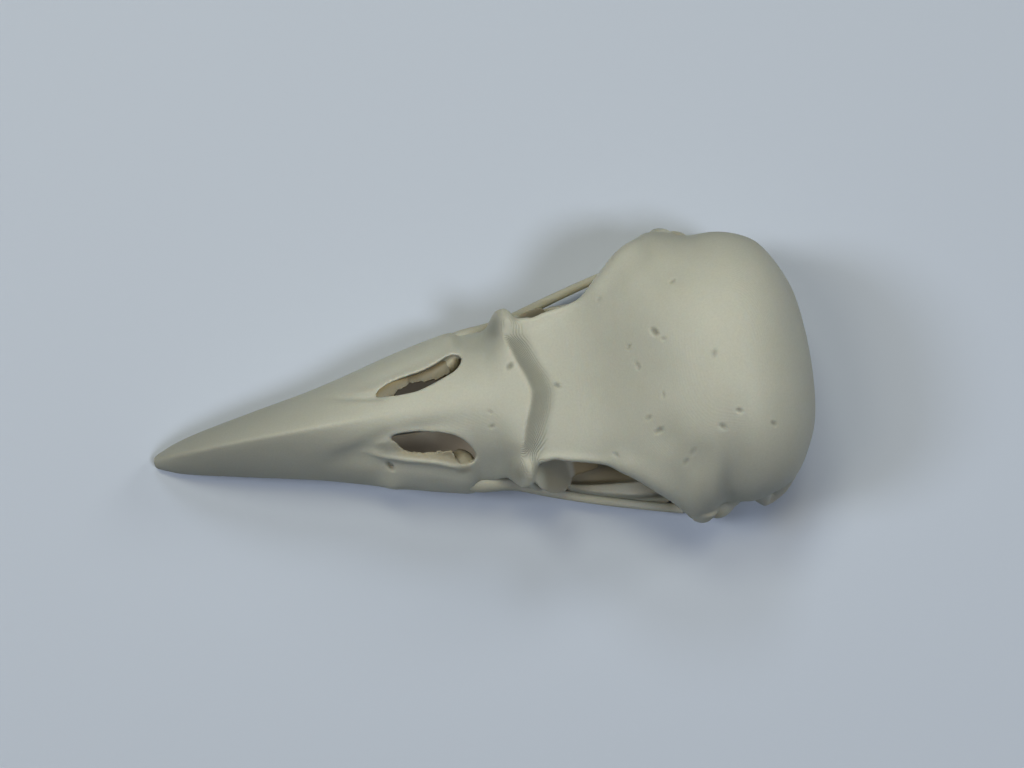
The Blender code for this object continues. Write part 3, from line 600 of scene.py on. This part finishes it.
def septumPlate():
    # upright plate between the orbits, down to the round bar of the rostrum
    setting = orbit["septum"]
    s = np.linspace(*setting["span"], 60)
    top = np.maximum(sizeAt("bottom", s), setting["least"]) + setting["into"]
    turn = np.linspace(0, 2 * np.pi, 40, endpoint=False)
    middle, reach = (top + setting["low"]) / 2, (top - setting["low"]) / 2
    y = setting["half"] * signedPower(np.cos(turn), 0.5)[None, :]
    z = middle[:, None] + reach[:, None] * signedPower(np.sin(turn), 0.35)[None, :]
    return solid("septum", grid(s[:, None], y, z))


def lacrimalBar(side):
    # bar that runs down from the lacrimal's ear along the orbit's front
    less = orbit["rimTrim"] if side > 0 else dict.fromkeys(orbit["rimTrim"], 0.0)
    path = [(s, side * (y - less[s]), z) for s, y, z in orbit["rim"]]
    return bar("rim", path, orbit["rimRadii"], blunt=0.6)


# Lumps at the foot of the braincase, on the right side: bent cones by their path, half widths and blunt ends
base = {
    "postorbital": (((90.2, 21.4, 18.0), (89.7, 22.8, 15.2), (88.7, 23.45, 12.2)), (2.4, 1.7, 0.5), 0.5),
    "zygomatic": (((95.2, 20.2, 14.0), (93.2, 22.0, 11.4), (91.6, 22.8, 9.6)), (2.2, 1.5, 0.45), 0.4),
    "paroccipital": (((99.2, 18.4, 13.0), (100.4, 21.1, 11.0), (101.1, 23.2, 9.7)), (3.0, 1.8, 0.32), 0.3),
    "wing": (((96.5, 16.0, 6.2), (100.5, 17.6, 7.6), (103.0, 17.2, 11.0)), (1.4, 1.8, 1.2), 1.0),
    # ridge from the paroccipital to the back, which differs from side to side
    "crest": {-1: ((106.2, 16.6, 11.6), (104.0, 20.3, 10.2), (101.4, 23.05, 9.7)),
        1: ((106.2, 15.2, 11.6), (104.0, 18.8, 10.2), (101.4, 23.05, 9.7))},
    "crestSize": ((1.8, 1.3, 0.32), (1.0, 0.8, 0.3)),
    "swelling": ((93.2, 22.4, 13.4), (2.3, 1.5, 1.6), -24.0),  # behind the postorbital
    "condyle": ((104.4, 0, 6.6), (1.5, 1.7, 1.5)),
    "rostrum": (((60.5, 0, 8.0), (74, 0, 7.7), (86, 0, 7.0)), (0.9, 1.35, 1.8)),
    "foramen": ((107.2, 0.0, 9.4), (5.6, 3.7, 3.4), (0, 41.0, 0)),
    "ear": ((97.0, 21.4, 9.6), (2.5, 3.6, 3.8)),
}


def braincaseSpurs(side):
    parts = {}
    for name in ("postorbital", "zygomatic", "paroccipital", "wing"):
        path, radii, blunt = base[name]
        parts[name] = bar(name, mirrored(path, side), radii, blunt=blunt)
    centre, radii, turn = base["swelling"]
    swelling = ball("swelling", *mirrored([centre], side), radii, turn=(0, 0, side * turn))
    crest = bar("crest", mirrored(base["crest"][side], side), *base["crestSize"], blunt=0.3)
    return [parts["postorbital"], parts["zygomatic"], swelling, parts["paroccipital"], crest, parts["wing"]]


# Pits in the print: s, y, radius, depth
pits = ((62.4, 4.5, 0.55, 0.4), (69.5, 0.6, 0.5, 0.34), (58.2, -2.1, 0.35, 0.15), (58.2, -4.4, 0.4, 0.18),
        (88.9, 12.8, 0.4, 0.2), (84.9, 5.5, 0.55, 0.4), (86.0, 4.1, 0.35, 0.15), (81.0, 4.2, 0.35, 0.18),
        (81.8, 1.0, 0.5, 0.15), (92.8, 0.3, 0.55, 0.2), (95.3, -8.7, 0.4, 0.28), (100.5, -11.3, 0.45, 0.25),
        (92.6, -10.6, 0.5, 0.22), (87.9, -13.5, 0.5, 0.12), (82.1, -7.3, 0.45, 0.18),
        (83.4, -9.5, 0.5, 0.28), (86.8, -14.8, 0.5, 0.13), (84.7, -4.3, 0.35, 0.15),
        (76.7, -11.8, 0.4, 0.18), (77.9, 12.8, 0.35, 0.15), (40.9, -7.7, 0.55, 0.75))
# of each pit: length and width as shares of its radius, turn by its s, depth, the dent's width, lip
pitShape = {"long": 1.35, "short": 0.75, "turn": 1.7, "deep": 1.15, "dent": 0.8, "lip": (0.06, 1.5, 0.6)}
pitsAbove = 12


def pitDepth(points):
    # each pit is a bell-shaped dent on the upper side, longer one way, at an angle taken from its place
    depth = np.zeros(len(points))
    high, away, width = pitShape["lip"]
    for s, y, radius, amount in pits:
        turn = s * pitShape["turn"] + y
        c, n = math.cos(turn), math.sin(turn)
        u, v = points[:, 0] - s, points[:, 1] - y
        distance = np.hypot((u * c + v * n) / pitShape["long"], (v * c - u * n) / pitShape["short"])
        lip = high * bell(distance - away * radius, width * radius)
        depth += pitShape["deep"] * amount * (bell(distance, pitShape["dent"] * radius) - lip)
    return depth * (points[:, 2] > pitsAbove)


def pitted(points, normal):
    # pushed in against the normal
    return points - normal * (pitDepth(points) * smoothStep(0.15, 0.5, normal[:, 2]))[:, None]


def makeShell():
    # the outer form less its hollows, fused with what stands in them, then pierced, smoothed and pitted
    piece = outerForm()
    cavity = skullRings(np.linspace(*bill["cavity"], 40), -bill["wall"], bill["palateTop"] - bill["wall"])
    cutters = [solid("cavity", cavity), bar("cleft", *bill["cleft"]), ball("scoop", *bill["scoop"])]
    for side in (-1, 1):
        cutters += [nostrilCutter(side), ball("hollow", *mirrored([orbit["centre"]], side), orbit["radii"],
                                              turn=(side * orbit["lean"], 0, 0), around=96)]
    carve(piece, cutters)
    parts = [septumPlate(), nasalKeel(), ball("condyle", *base["condyle"]),
             bar("rostrum", *base["rostrum"], blunt=1.5)]
    for side in (-1, 1):
        parts += [ball("turbinal", *mirrored([bill["knob"][side]], side), bill["knobRadii"][side],
                       turn=(0, 0, side * bill["knobTurn"])),
                  ectethmoid(side), orbitFlake(side), lacrimalBar(side)] + braincaseSpurs(side)
    gather(piece, parts)
    melt(piece, skull["voxel"], 1)
    centre, radii = base["ear"]
    cutters = [ball("window", *orbit["window"]), ball("foramen", *base["foramen"])]
    cutters += [ball("ear", *mirrored([centre], side), radii) for side in (-1, 1)]
    carve(piece, cutters)
    modified(piece, "SMOOTH", iterations=3, factor=0.5)
    points, normal = pointsOf(piece)
    movePoints(piece, pitted(points, normal))
    thinned(piece, skull["triangles"])
    piece.name = "skullShell"
    return piece


shell = makeShell()
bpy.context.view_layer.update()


# Cheek bars: |y| and height by s, half width and half thickness
cheek = {
    "path": {53.0: (11.3, 9.0), 54.5: (11.95, 9.6), 56: (12.25, 9.9), 58: (12.6, 9.6), 60: (13.1, 8.6),
        62: (13.8, 7.2), 64: (14.55, 6.1), 66: (15.3, 5.4), 72: (17.3, 5.0), 80: (19.6, 4.9),
        88.6: (21.7, 4.9)},
    "rightTrim": {53.0: 0.5, 57: 0.35, 60: 0.1, 62: 0.0, 88.6: 0.0},
    "rightDrop": 1.5,  # mm lower on the right for each mm nearer
    "wide": {53.0: 1.9, 56: 1.8, 58: 1.5, 60: 1.2, 62: 1.0, 67: 0.85, 80: 0.74, 88.6: 0.8},
    "thick": {53.0: 2.4, 56: 2.2, 58: 1.8, 60: 1.3, 62: 1.0, 67: 0.72, 88.6: 0.75},
}


def makeCheek(side, name):
    s = np.linspace(min(cheek["path"]), max(cheek["path"]), 19)
    centre = through(cheek["path"], s)
    less = through(cheek["rightTrim"], s) if side > 0 else 0.0
    path = np.stack([s, side * (centre[:, 0] - less), centre[:, 1] - cheek["rightDrop"] * less], -1)
    wide, thick = through(cheek["wide"], s), through(cheek["thick"], s)
    return bar(name, path, wide, thick, around=36, rows=150, blunt=0.8)


# Palatines: |y| of both edges by s, and the raised bar along the outer one
palate = {
    "inner": {39.0: 2.9, 58: 2.9, 64: 3.0, 76: 2.6, 84: 2.6, 87: 12.0},
    "outer": {39.0: 4.1, 57: 4.1, 62: 7.0, 66: 12.9, 70: 16.0, 74.7: 18.0, 76.8: 18.7, 81: 19.4, 85: 20.2,
        87: 19.6},
    "rightTrim": {39.0: 0.0, 66: 0.0, 70: 0.4, 76: 2.0, 82: 1.6, 87: 0.5},
    "level": 4.9,
    "half": 0.5,
    "dish": 1.6,
    "dished": (6.0, 8.0),  # |y| of the outer edge where the dish begins, and the mm more at which it is full
    # |y| of the raised bar by s, half its width, its height, its edges, and the plate's fall outside it
    "crest": {64: 11.0, 67: 13.4, 70: 15.15, 74.7: 16.2, 81.3: 17.1, 87: 17.5},
    "crestHalf": {64: 0.6, 70: 0.75, 74.7: 1.05, 81.3: 1.4, 87: 1.3},
    "crestRise": 2.9,
    "crestEdge": (0.45, 0.25),
    "crestFall": 1.5,
}


def makePalatine(side, name):
    # strap that widens into a dished plate: z = level + crest c(distance to its line) - dish u(1-u), u across
    s = np.linspace(min(palate["inner"]), max(palate["inner"]), 220)[:, None]
    u = np.linspace(0, 1, 76)[None, :]
    trim = through(palate["rightTrim"], s) if side > 0 else 0.0
    inner, outer = through(palate["inner"], s), through(palate["outer"], s) - trim
    start, more = palate["dished"]
    share = np.clip((outer - start) / more, 0.0, 1.0)
    y = inner + (outer - inner) * u
    half = through(palate["crestHalf"], s)
    away = y + trim - through(palate["crest"], s)
    within, beyond = palate["crestEdge"]
    crest = 1 - smoothStep(half - within, half + beyond, np.abs(away))
    rise = palate["crestRise"] * crest - palate["dish"] * u * (1 - u)
    z = palate["level"] + share * (rise - palate["crestFall"] * smoothStep(half, half + 1, away))
    half = palate["half"] * np.sqrt(np.clip(1 - (2 * u - 1) ** 10, 0.01, 1))
    return plate(name, grid(s, side * y, z + half), grid(s, side * y, z - half))


pterygoid = {"path": ((83.2, 3.5, 5.9), (86.2, 8.4, 5.5), (89.4, 13.8, 4.4)), "radii": (1.15, 0.8, 1.1)}


def makePterygoid(side, name):
    return bar(name, mirrored(pterygoid["path"], side), pterygoid["radii"], blunt=0.6)


# Quadrates: lumps by place and radii (the body, two feet and the cup for the cheek bar), and two branches
quadrate = {
    "lumps": (((89.2, 18.2, 4.9), (2.4, 4.4, 3.3)), ((88.6, 20.4, 1.8), (2.1, 1.9, 1.8)),
        ((89.4, 15.8, 1.8), (1.9, 2.2, 1.8)), ((90.3, 22.0, 6.2), (2.1, 1.8, 2.2))),
    "branches": ((((89.4, 18.6, 5.5), (91.4, 19.2, 8.4), (93.4, 19.6, 11.5)), (2.0, 1.7, 1.6), 0.8),
        (((88.4, 16.4, 6.4), (86.2, 13.2, 8.2), (84.4, 10.4, 9.6)), (1.7, 1.1, 0.6), 0.5)),
    "voxel": 0.25,
    "triangles": 30000,
}


def makeQuadrate(side, name):
    # lumps and branches fused into one bone
    piece, *parts = [ball(name, *mirrored([centre], side), radii) for centre, radii in quadrate["lumps"]]
    parts += [bar("branch", mirrored(path, side), radii, blunt=blunt)
              for path, radii, blunt in quadrate["branches"]]
    gather(piece, parts)
    melt(piece, quadrate["voxel"], 5)
    piece.name = name
    return thinned(piece, quadrate["triangles"])


vomer = {"path": ((44.8, 0.0, 6.3), (52.0, 0.0, 6.9), (63.5, 0.0, 7.9)), "radii": (0.5, 0.8, 0.95)}


def makeVomer():
    return bar("vomer", vomer["path"], vomer["radii"], blunt=0.6)


# Printed plastic
def linear(hexColour):
    # sRGB hex to the linear numbers that a shader takes
    channels = [int(hexColour[i:i + 2], 16) / 255 for i in (1, 3, 5)]
    return [c / 12.92 if c <= 0.04045 else ((c + 0.055) / 1.055) ** 2.4 for c in channels] + [1.0]


def addNode(tree, kind, settings):
    # one shader node, whose settings are properties, or sockets that take a number or another node's output
    node = tree.nodes.new("ShaderNode" + kind)
    for key, value in settings.items():
        if not (isinstance(key, int) or key in node.inputs):
            setattr(node, key, value)
        elif isinstance(value, bpy.types.NodeSocket):
            tree.links.new(value, node.inputs[key])
        else:
            node.inputs[key].default_value = value
    return node.outputs


def mixed(tree, share, first, second, blend="MIX"):
    # colour between two others, or their product
    settings = {"data_type": "RGBA", "blend_type": blend, 0: share, 6: first, 7: second}
    return addNode(tree, "Mix", settings)[2]


plastic = {
    "colours": ("#c3c4b6", "#bcbdad"),
    "cloud": 9.0,  # size in mm of the patches of the two colours
    "solid": "#939489",  # darker grey: painted shade, and the bill's darker tip
    "tip": {0: 0.55, 12: 0.47, 24: 0.27, 35: 0.1, 45: 0.0},  # share of that grey along the bill, most at the tip
    # painted shade in the pits
    "pitShade": "#6d6653",
    # painted warm shade in the nose, the orbits and other recesses
    "deep": "#9c8d66",
    "paintedGlow": "#a19b96",  # painted glow: emitted light that stands in for light seeping through the thin walls into the nose
    "paintedGlowStrength": 0.27,
    "roughness": 0.6,
    "layer": 0.2,  # height of one printed layer in mm, and how far its edge stands out
    "layerEdge": 0.06,
    "grain": 0.3,  # size in mm of the blasting's fine grain, its height and how it tints the colour
    "grainHeight": 0.012,
    "speck": (0.955, 1.03),
    "seep": (0.35, 1.6),  # share of light that goes under the surface, and how deep in mm
}


def printedIvory(name):
    # ivory nylon, sintered in layers and blasted: matt and a little waxy, with painted warm shade in its
    # hollows, painted shade in its pits and in grey in other spots, darker toward the bill's tip, a painted
    # glow in the nose, and faint contour lines where a layer ends on a slope
    material = bpy.data.materials.new(name)
    material.use_nodes = True
    tree = material.node_tree
    tree.nodes.clear()
    place = addNode(tree, "TexCoord", {})["Object"]
    share = {mark: addNode(tree, "Attribute", {"attribute_name": mark})["Fac"]
             for mark in ("greyAndPaintedShade", "hollow", "pitShade", "layerLines", "paintedGlowMark")}
    cloud, grain = (addNode(tree, "TexNoise", {"Scale": 1 / (plastic[size] * mm), "Detail": detail,
                                               "Roughness": rough, "Vector": place})["Fac"]
                    for size, detail, rough in (("cloud", 4.0, 0.6), ("grain", 2.0, 0.7)))
    even = mixed(tree, cloud, *(linear(colour) for colour in plastic["colours"]))
    # painted shade: the darker grey mixed in on the hinge's band and other shaded spots, and toward the bill's
    # tip
    thick = mixed(tree, share["greyAndPaintedShade"], even, linear(plastic["solid"]))
    low, high = plastic["speck"]
    speck = addNode(tree, "MapRange", {"Value": grain, "From Min": 0.25, "From Max": 0.75, "To Min": low,
                                       "To Max": high})["Result"]
    specked = mixed(tree, 1.0, thick, speck, "MULTIPLY")
    # painted warm shade in the hollows
    warmShade = mixed(tree, share["hollow"], specked, linear(plastic["deep"]))
    # painted shade in the pits
    colour = mixed(tree, share["pitShade"], warmShade, linear(plastic["pitShade"]))
    # a wave texture has 20 / (2 pi) bands to its unit of scale
    layers = addNode(tree, "TexWave", {"bands_direction": "Z", "Distortion": 0.6, "Detail": 1.0,
                                       "Scale": 2 * math.pi / (20 * plastic["layer"] * mm),
                                       "Detail Scale": 0.02, "Vector": place})["Fac"]
    rough = addNode(tree, "Bump", {"Strength": 0.5, "Distance": plastic["grainHeight"] * mm,
                                   "Height": grain})["Normal"]
    stepped = addNode(tree, "Bump", {"Strength": share["layerLines"], "Distance": plastic["layerEdge"] * mm,
                                     "Height": layers, "Normal": rough})["Normal"]
    # painted glow: emission in the nose and orbits, where nothing is a lamp
    paintedGlow = addNode(tree, "Math", {"operation": "MULTIPLY", 0: share["paintedGlowMark"], 1: plastic["paintedGlowStrength"]})
    shader = addNode(tree, "BsdfPrincipled", {
        "Base Color": colour, "Roughness": plastic["roughness"], "IOR": 1.46, "Normal": stepped,
        "Subsurface Weight": plastic["seep"][0], "Subsurface Radius": (1.0, 0.66, 0.4),
        "Subsurface Scale": plastic["seep"][1] * mm, "Emission Color": linear(plastic["paintedGlow"]),
        "Emission Strength": paintedGlow["Value"]})
    addNode(tree, "OutputMaterial", {"Surface": shader["BSDF"]})
    return material


# Where the colour is made warmer (painted warm shade), greyer (painted shade, and darker toward the bill's
# tip) or glows (painted glow): steps and spans in mm, and shares
shade = {
    "underRoof": (0.5, 0.85),
    "nose": ((36.0, 40.0), (55.5, 58.0)),
    "knob": (1.8, 2.6),  # distance from the middle of a knob
    "floor": ((38.0, 41.0), (51.5, 53.5)),
    "floorEdges": ((0.0, 0.7), (0.2, 0.6)),
    # inside the orbits: s, least |y|, greatest |y| and height; and the plates in front of them
    "orbit": (((63.5, 65.5), (84.0, 87.0)), (0.3, 1.5), 17.5, (15.0, 18.0)),
    "plate": (((63.0, 65.0), (71.0, 74.0)), 17, (16.0, 18.5)),
    "leaf": (((70.2, 70.9), (75.0, 80.0)), (7.0, 9.0), (10.0, 12.0)),
    # painted warm shade: its share in each of these places
    "warmShade": {"nose": 0.45, "leaf": 0.85, "plate": (0.2, 0.5), "knob": 0.35, "floor": 0.35},
    "warmFloor": (41.0, 44.0),
    # painted glow: shares on the left and right of the nose and in the orbits, none near the knobs
    "paintedGlow": {"left": (0.75, 1.25), "grows": (46.0, 51.0), "right": 0.9, "orbit": 0.28, "knob": (1.9, 3.0)},
    # painted shade in grey: the hinge's band with its shares on the left and right and further back, patches
    # (s, |y|, or y on the left, reach along each, share left and right), the base of the braincase and the
    # bill's left flank
    "band": ((-0.3, 0.8), (8.5, 11.5), (2.0, 4.6), (3.0, 13.0)),
    "bandShare": (0.24, 0.46, 0.16),
    "patches": ((60.7, 11.4, 2.4, 2.2, 0.14, 0.5), (62.2, -12.2, 1.5, 1.2, 0.5, 0.5)),
    "beforeHinge": ((59.0, 8.5, 4.0, 4.0, 0.1, 0.1), (-0.8, 0.6)),
    "base": (0.27, (82.0, 90.0), (20.0, 34.0), (12.5, 15.0), (97.0, 99.0)),
    "baseKnob": (93.4, 22.8, 1.8, 1.2),
    "flank": (0.16, 34.0, 6.0, (4.0, 5.5)),
    # painted shade in grey on the knobs (left, right), the orbits' plates and the left nostril's floor
    "paintedGrey": {"knob": (0.6, 0.2), "plate": 0.3, "floor": 0.5},
    # layer lines: past the hinge, shares along it, round the ears and everywhere, and the slopes they need
    "lines": ((-0.8, 0.4), (3.2, 5.0), (11.0, 13.5), (4.0, 9.0)),
    "lineShare": (0.3, 0.5, 0.6, 0.12),
    "lineEar": (62.2, 12.3, 3.0, 3.2),
    "lineSlope": ((0.1, 0.4), (0.93, 0.99)),
    # painted shade in the pits: share for each mm of depth, and the most
    "pitShade": (1.1, 0.7),
}


def underRoof(points):
    # 0 on the outer form, 1 a few mm under it, from |y/a|^roof + |(z - widest)/h|^flank, 1 on the form
    s, y, z = points.T
    top, widest = sizeAt("top", s), sizeAt("widest", s)
    above = np.clip((z - widest) / np.maximum(top - widest, skull["least"]), 0, 1.2)
    inside = (np.abs(y) / halfAt(s, y)) ** sizeAt("roof", s) + above ** sizeAt("flank", s)
    return 1 - smoothStep(*shade["underRoof"], inside)


def noseShare(points):
    # 1 inside the nose
    return underRoof(points) * span(shade["nose"], points[:, 0])


def fromKnob(points, side):
    return np.linalg.norm(points - np.array(mirrored([bill["knob"][side]], side)[0]), axis=1)


def knobShare(points):
    # 1 on the two knobs in the nose
    return np.maximum(*[1 - smoothStep(*shade["knob"], fromKnob(points, side)) for side in (-1, 1)])


def floorShare(points):
    # 1 on the floor of the left nostril
    s, y = points.T[:2]
    return nostrilFloor(s, y, shade["floorEdges"]) * span(shade["floor"], s)


def orbitShare(points):
    # 1 low inside the orbits
    s, y, z = points.T
    along, inner, outer, height = shade["orbit"]
    inside = span(along, s) * smoothStep(*inner, np.abs(y)) * (np.abs(y) < outer)
    return inside * (1 - smoothStep(*height, z))


def plateShare(points):
    # 1 on the two plates that close the orbits in front
    s, y, z = points.T
    along, outer, height = shade["plate"]
    return span(along, s) * (1 - smoothStep(*height, z)) * (np.abs(y) < outer)


def paintedGlowShare(points):
    # painted glow: most in the nose, less in the orbits, and none on the two knobs
    s, y = points.T[:2]
    paintedGlow = shade["paintedGlow"]
    low, high = paintedGlow["left"]
    left = low + (high - low) * smoothStep(*paintedGlow["grows"], s)
    share = noseShare(points) * np.where(y > 0, paintedGlow["right"], left)
    share = np.maximum(share, paintedGlow["orbit"] * orbitShare(points))
    for side in (-1, 1):
        share = share * smoothStep(*paintedGlow["knob"], fromKnob(points, side))
    return share


def warmShadeShare(points):
    # painted warm shade: yellower in the nose and on the leaf of bone in the orbit, a little on the plate
    # before it
    s, y, z = points.T
    along, aside, height = shade["leaf"]
    leaf = span(along, s) * smoothStep(*aside, np.abs(y)) * (1 - smoothStep(*height, z))
    warmShade = shade["warmShade"]
    floor = floorShare(points) * smoothStep(*shade["warmFloor"], s)
    return np.clip(np.max([warmShade["nose"] * noseShare(points), warmShade["leaf"] * leaf,
                           plateShare(points) * np.where(y > 0, warmShade["plate"][1], warmShade["plate"][0]),
                           warmShade["knob"] * knobShare(points), warmShade["floor"] * floor], axis=0), 0, 1)


def shelfShade(points):
    # painted warm shade, yellower towards the rim
    return 0.3 + 0.5 * smoothStep(-1.1, 0.1, points[:, 1] - through(bill["naris"][1][1], points[:, 0]))


def palatineShade(points):
    # dark inside the raised bar, where little light reaches the dished plate
    s, across = points[:, 0], np.abs(points[:, 1])
    edge = through(palate["crest"], s) - through(palate["crestHalf"], s)
    return 0.15 + 0.45 * (1 - smoothStep(-0.6, 0.2, across - edge)) * smoothStep(62.0, 66.0, s)


def layerMarks(points):
    # where the layers show: the hinge's slope, the lacrimals' ears and the front of the forehead
    s, across = points[:, 0], np.abs(points[:, 1])
    past = s - through(relief["ridge"], across)
    begin, end, side, grows = shade["lines"]
    least, more, ears, everywhere = shade["lineShare"]
    hinge = span((begin, end), past) * (1 - smoothStep(*side, across))
    atS, atY, reachS, reachY = shade["lineEar"]
    ear = bell(s - atS, reachS) * bell(across - atY, reachY)
    return np.clip((least + more * smoothStep(*grows, across)) * hinge + ears * ear + everywhere, 0, 1)


def patch(points, right, place):
    # soft spot: a bell along s times one along |y|, or along y where it is on the left only
    at, side, reachS, reachY, leftShare, rightShare = place
    y = points[:, 1] if side < 0 else np.abs(points[:, 1])
    share = leftShare + (rightShare - leftShare) * right
    return share * bell(points[:, 0] - at, reachS) * bell(y - side, reachY)


def greyAndShadeShare(points):
    # darker toward the bill's tip; painted shade on the hinge's band, before the ears, on the base, the left
    # flank, the knobs, the plates and the left nostril's floor
    s, y, z = points.T
    across = np.abs(y)
    right = smoothStep(-4.0, 4.0, y)
    past = s - through(relief["ridge"], across)
    begin, side, near, far = shade["band"]
    left, onRight, behind = shade["bandShare"]
    band = (left + (onRight - left) * right) * (1 - smoothStep(*near, past))
    band = band + behind * (1 - smoothStep(*far, past))
    band = band * smoothStep(*begin, past) * (1 - smoothStep(*side, across))
    before, hinge = shade["beforeHinge"]
    spots = sum(patch(points, right, place) for place in shade["patches"])
    spots = spots + patch(points, right, before) * (1 - smoothStep(*hinge, past))
    share, along, height, foot, back = shade["base"]
    at, out, reachS, reachY = shade["baseKnob"]
    low = share * smoothStep(*along, s) * (1 - smoothStep(*height, z))
    low = low * np.maximum(smoothStep(*foot, z), smoothStep(*back, s))
    low = low * (1 - bell(s - at, reachS) * bell(across - out, reachY))
    share, at, reach, aside = shade["flank"]
    tip = through(plastic["tip"], s) + share * bell(s - at, reach) * smoothStep(*aside, -y)
    paintedGrey = shade["paintedGrey"]
    knob = paintedGrey["knob"][0] + (paintedGrey["knob"][1] - paintedGrey["knob"][0]) * right
    return np.max([tip, band, spots, low, knob * knobShare(points), paintedGrey["plate"] * plateShare(points),
                   paintedGrey["floor"] * floorShare(points)], axis=0)


def markSurface(piece, inner=None, paintedGrey=0.0, seep=0.0):
    # inner: painted warm shade as a number or a function of the points, left out for the shell, which has its
    # own marks
    points, normal = pointsOf(piece)
    warmShade = warmShadeShare if inner is None else inner
    # painted warm shade
    store(piece, "hollow", warmShade(points) if callable(warmShade) else np.full(len(points), warmShade))
    # painted shade in grey, at least the given share on the other pieces
    store(piece, "greyAndPaintedShade", np.maximum(greyAndShadeShare(points), paintedGrey))
    # painted shade in the pits, on the shell only
    amount, most = shade["pitShade"]
    store(piece, "pitShade", np.clip(amount * pitDepth(points), 0, most) * (inner is None))
    # painted glow: its share on the shell, or the given seep on the other pieces
    store(piece, "paintedGlowMark", paintedGlowShare(points) if inner is None else np.full(len(points), seep))
    store(piece, "layerLines", layerMarks(points) * span(shade["lineSlope"], normal[:, 2]))


def finishPiece(piece, nodes, material, inner=None, paintedGrey=0.0, seep=0.0):
    markSurface(piece, inner, paintedGrey, seep)
    piece.data.materials.clear()
    piece.data.materials.append(material)
    piece.data.shade_smooth()
    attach(piece, "root")
    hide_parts(*nodes)


ivory = printedIvory("ivoryPrint")
finishPiece(shell, ("premaxilla", "nasal", "maxilla_left", "maxilla_right", "frontal", "braincase",
                               "septum", "lacrimal_left", "lacrimal_right"), ivory)
for side, suffix, node in ((-1, "Left", "_left"), (1, "Right", "_right")):
    # shares after the material: painted warm shade, painted shade in grey and painted glow
    finishPiece(makeCheek(side, "cheekBar" + suffix), ("jugal" + node,), ivory, 0.08, paintedGrey=0.12)
    finishPiece(makePalatine(side, "palatine" + suffix), ("palatine" + node,), ivory, palatineShade,
                seep=0.16)
    finishPiece(makePterygoid(side, "pterygoid" + suffix), ("pterygoid" + node,), ivory, 0.35)
    finishPiece(makeQuadrate(side, "quadrate" + suffix), ("quadrate" + node,), ivory, 0.15)
finishPiece(makeVomer(), ("vomer",), ivory, 0.35)
# the right nostril's floor: painted shade in grey almost all over, painted warm shade toward its rim
finishPiece(nasalShelf("nasalShelf"), ("nasal",), ivory, shelfShade, paintedGrey=0.95)
print("small bones")


# Table, light and camera
studio = {
    "table": "#bfc6ca",
    "tableHalf": 1.5,
    "tableRoughness": 0.7,
    "room": ("#dfe6ee", 0.0),
    # each lamp: degrees from straight above, bearing in the picture (0 right, 90 up), width in m, W, colour
    "lamps": (("lampLeft", 45.0, 180.0, 0.24, 2.7, "#e7edff"),
        ("lampNear", 30.0, 180.0, 0.24, 1.15, "#fff6ec"),
        ("lampBehind", 30.0, 120.0, 0.24, 1.42, "#fffdf0"),
        ("lampTop", 15.0, 90.0, 0.24, 1.47, "#fff1cc"),
        ("lampFar", 45.0, 90.0, 0.24, 1.15, "#e2ebff"),
        ("lampRight", 30.0, 330.0, 0.24, 3.2, "#e7ecff"),
        ("lampLow", 60.0, 30.0, 0.24, 1.25, "#fefdff")),
    "aimHeight": 0.015,
    "distance": 0.9,
    "contrast": 0.7,
}
view = {"azimuth": -8.70, "elevation": 83.54, "distance": 240.0, "target": (62.48, 2.61, 15.0), "lens": 51.66}


def makeTable():
    mesh = bpy.data.meshes.new("table")
    half = studio["tableHalf"]
    corners = [(x * half, y * half, 0) for x, y in ((-1, -1), (1, -1), (1, 1), (-1, 1))]
    mesh.from_pydata(corners, [], [(0, 1, 2, 3)])
    table = bpy.data.objects.new("table", mesh)
    bpy.context.scene.collection.objects.link(table)
    material = bpy.data.materials.new("paleTableTop")
    material.use_nodes = True
    shader = material.node_tree.nodes["Principled BSDF"]
    shader.inputs["Base Color"].default_value = linear(studio["table"])
    shader.inputs["Roughness"].default_value = studio["tableRoughness"]
    mesh.materials.append(material)


def aim(thing, place, target):
    bpy.context.scene.collection.objects.link(thing)
    thing.location = place
    thing.rotation_mode = "QUATERNION"
    thing.rotation_quaternion = (target - place).to_track_quat("-Z", "Y")


def makeLight():
    turn = math.radians(view["azimuth"])
    right = Vector((math.cos(turn), math.sin(turn), 0))
    up = Vector((-math.sin(turn), math.cos(turn), 0))
    centre = Vector((0, 0, studio["aimHeight"]))
    for name, tilt, bearing, width, power, colour in studio["lamps"]:
        lamp = bpy.data.lights.new(name, "AREA")
        lamp.shape = "DISK"
        lamp.size = width
        lamp.energy = power
        lamp.color = linear(colour)[:3]
        tilt, bearing = math.radians(tilt), math.radians(bearing)
        flat = right * math.cos(bearing) + up * math.sin(bearing)
        away = (flat * math.sin(tilt) + Vector((0, 0, math.cos(tilt)))) * studio["distance"]
        aim(bpy.data.objects.new(name, lamp), centre + away, centre)
    world = bpy.data.worlds.new("room")
    world.use_nodes = True
    colour, strength = studio["room"]
    world.node_tree.nodes["Background"].inputs["Color"].default_value = linear(colour)
    world.node_tree.nodes["Background"].inputs["Strength"].default_value = strength
    bpy.context.scene.world = world
    bpy.context.scene.view_settings.view_transform = "Standard"
    bpy.context.scene.view_settings.gamma = studio["contrast"]


def makeCamera():
    camera = bpy.data.cameras.new("camera")
    camera.lens = view["lens"]
    camera.sensor_width = 36.0
    camera.clip_start = 0.01
    thing = bpy.data.objects.new("camera", camera)
    turn, tilt = math.radians(view["azimuth"]), math.radians(view["elevation"])
    back = Vector((math.sin(turn) * math.cos(tilt), -math.cos(turn) * math.cos(tilt), math.sin(tilt)))
    s, y, z = view["target"]
    target = Vector(((s - skull["length"] / 2) * mm, y * mm, z * mm))
    aim(thing, target + back * view["distance"] * mm, target)
    bpy.context.scene.camera = thing


makeTable()
makeLight()
makeCamera()
print("table, light and camera")
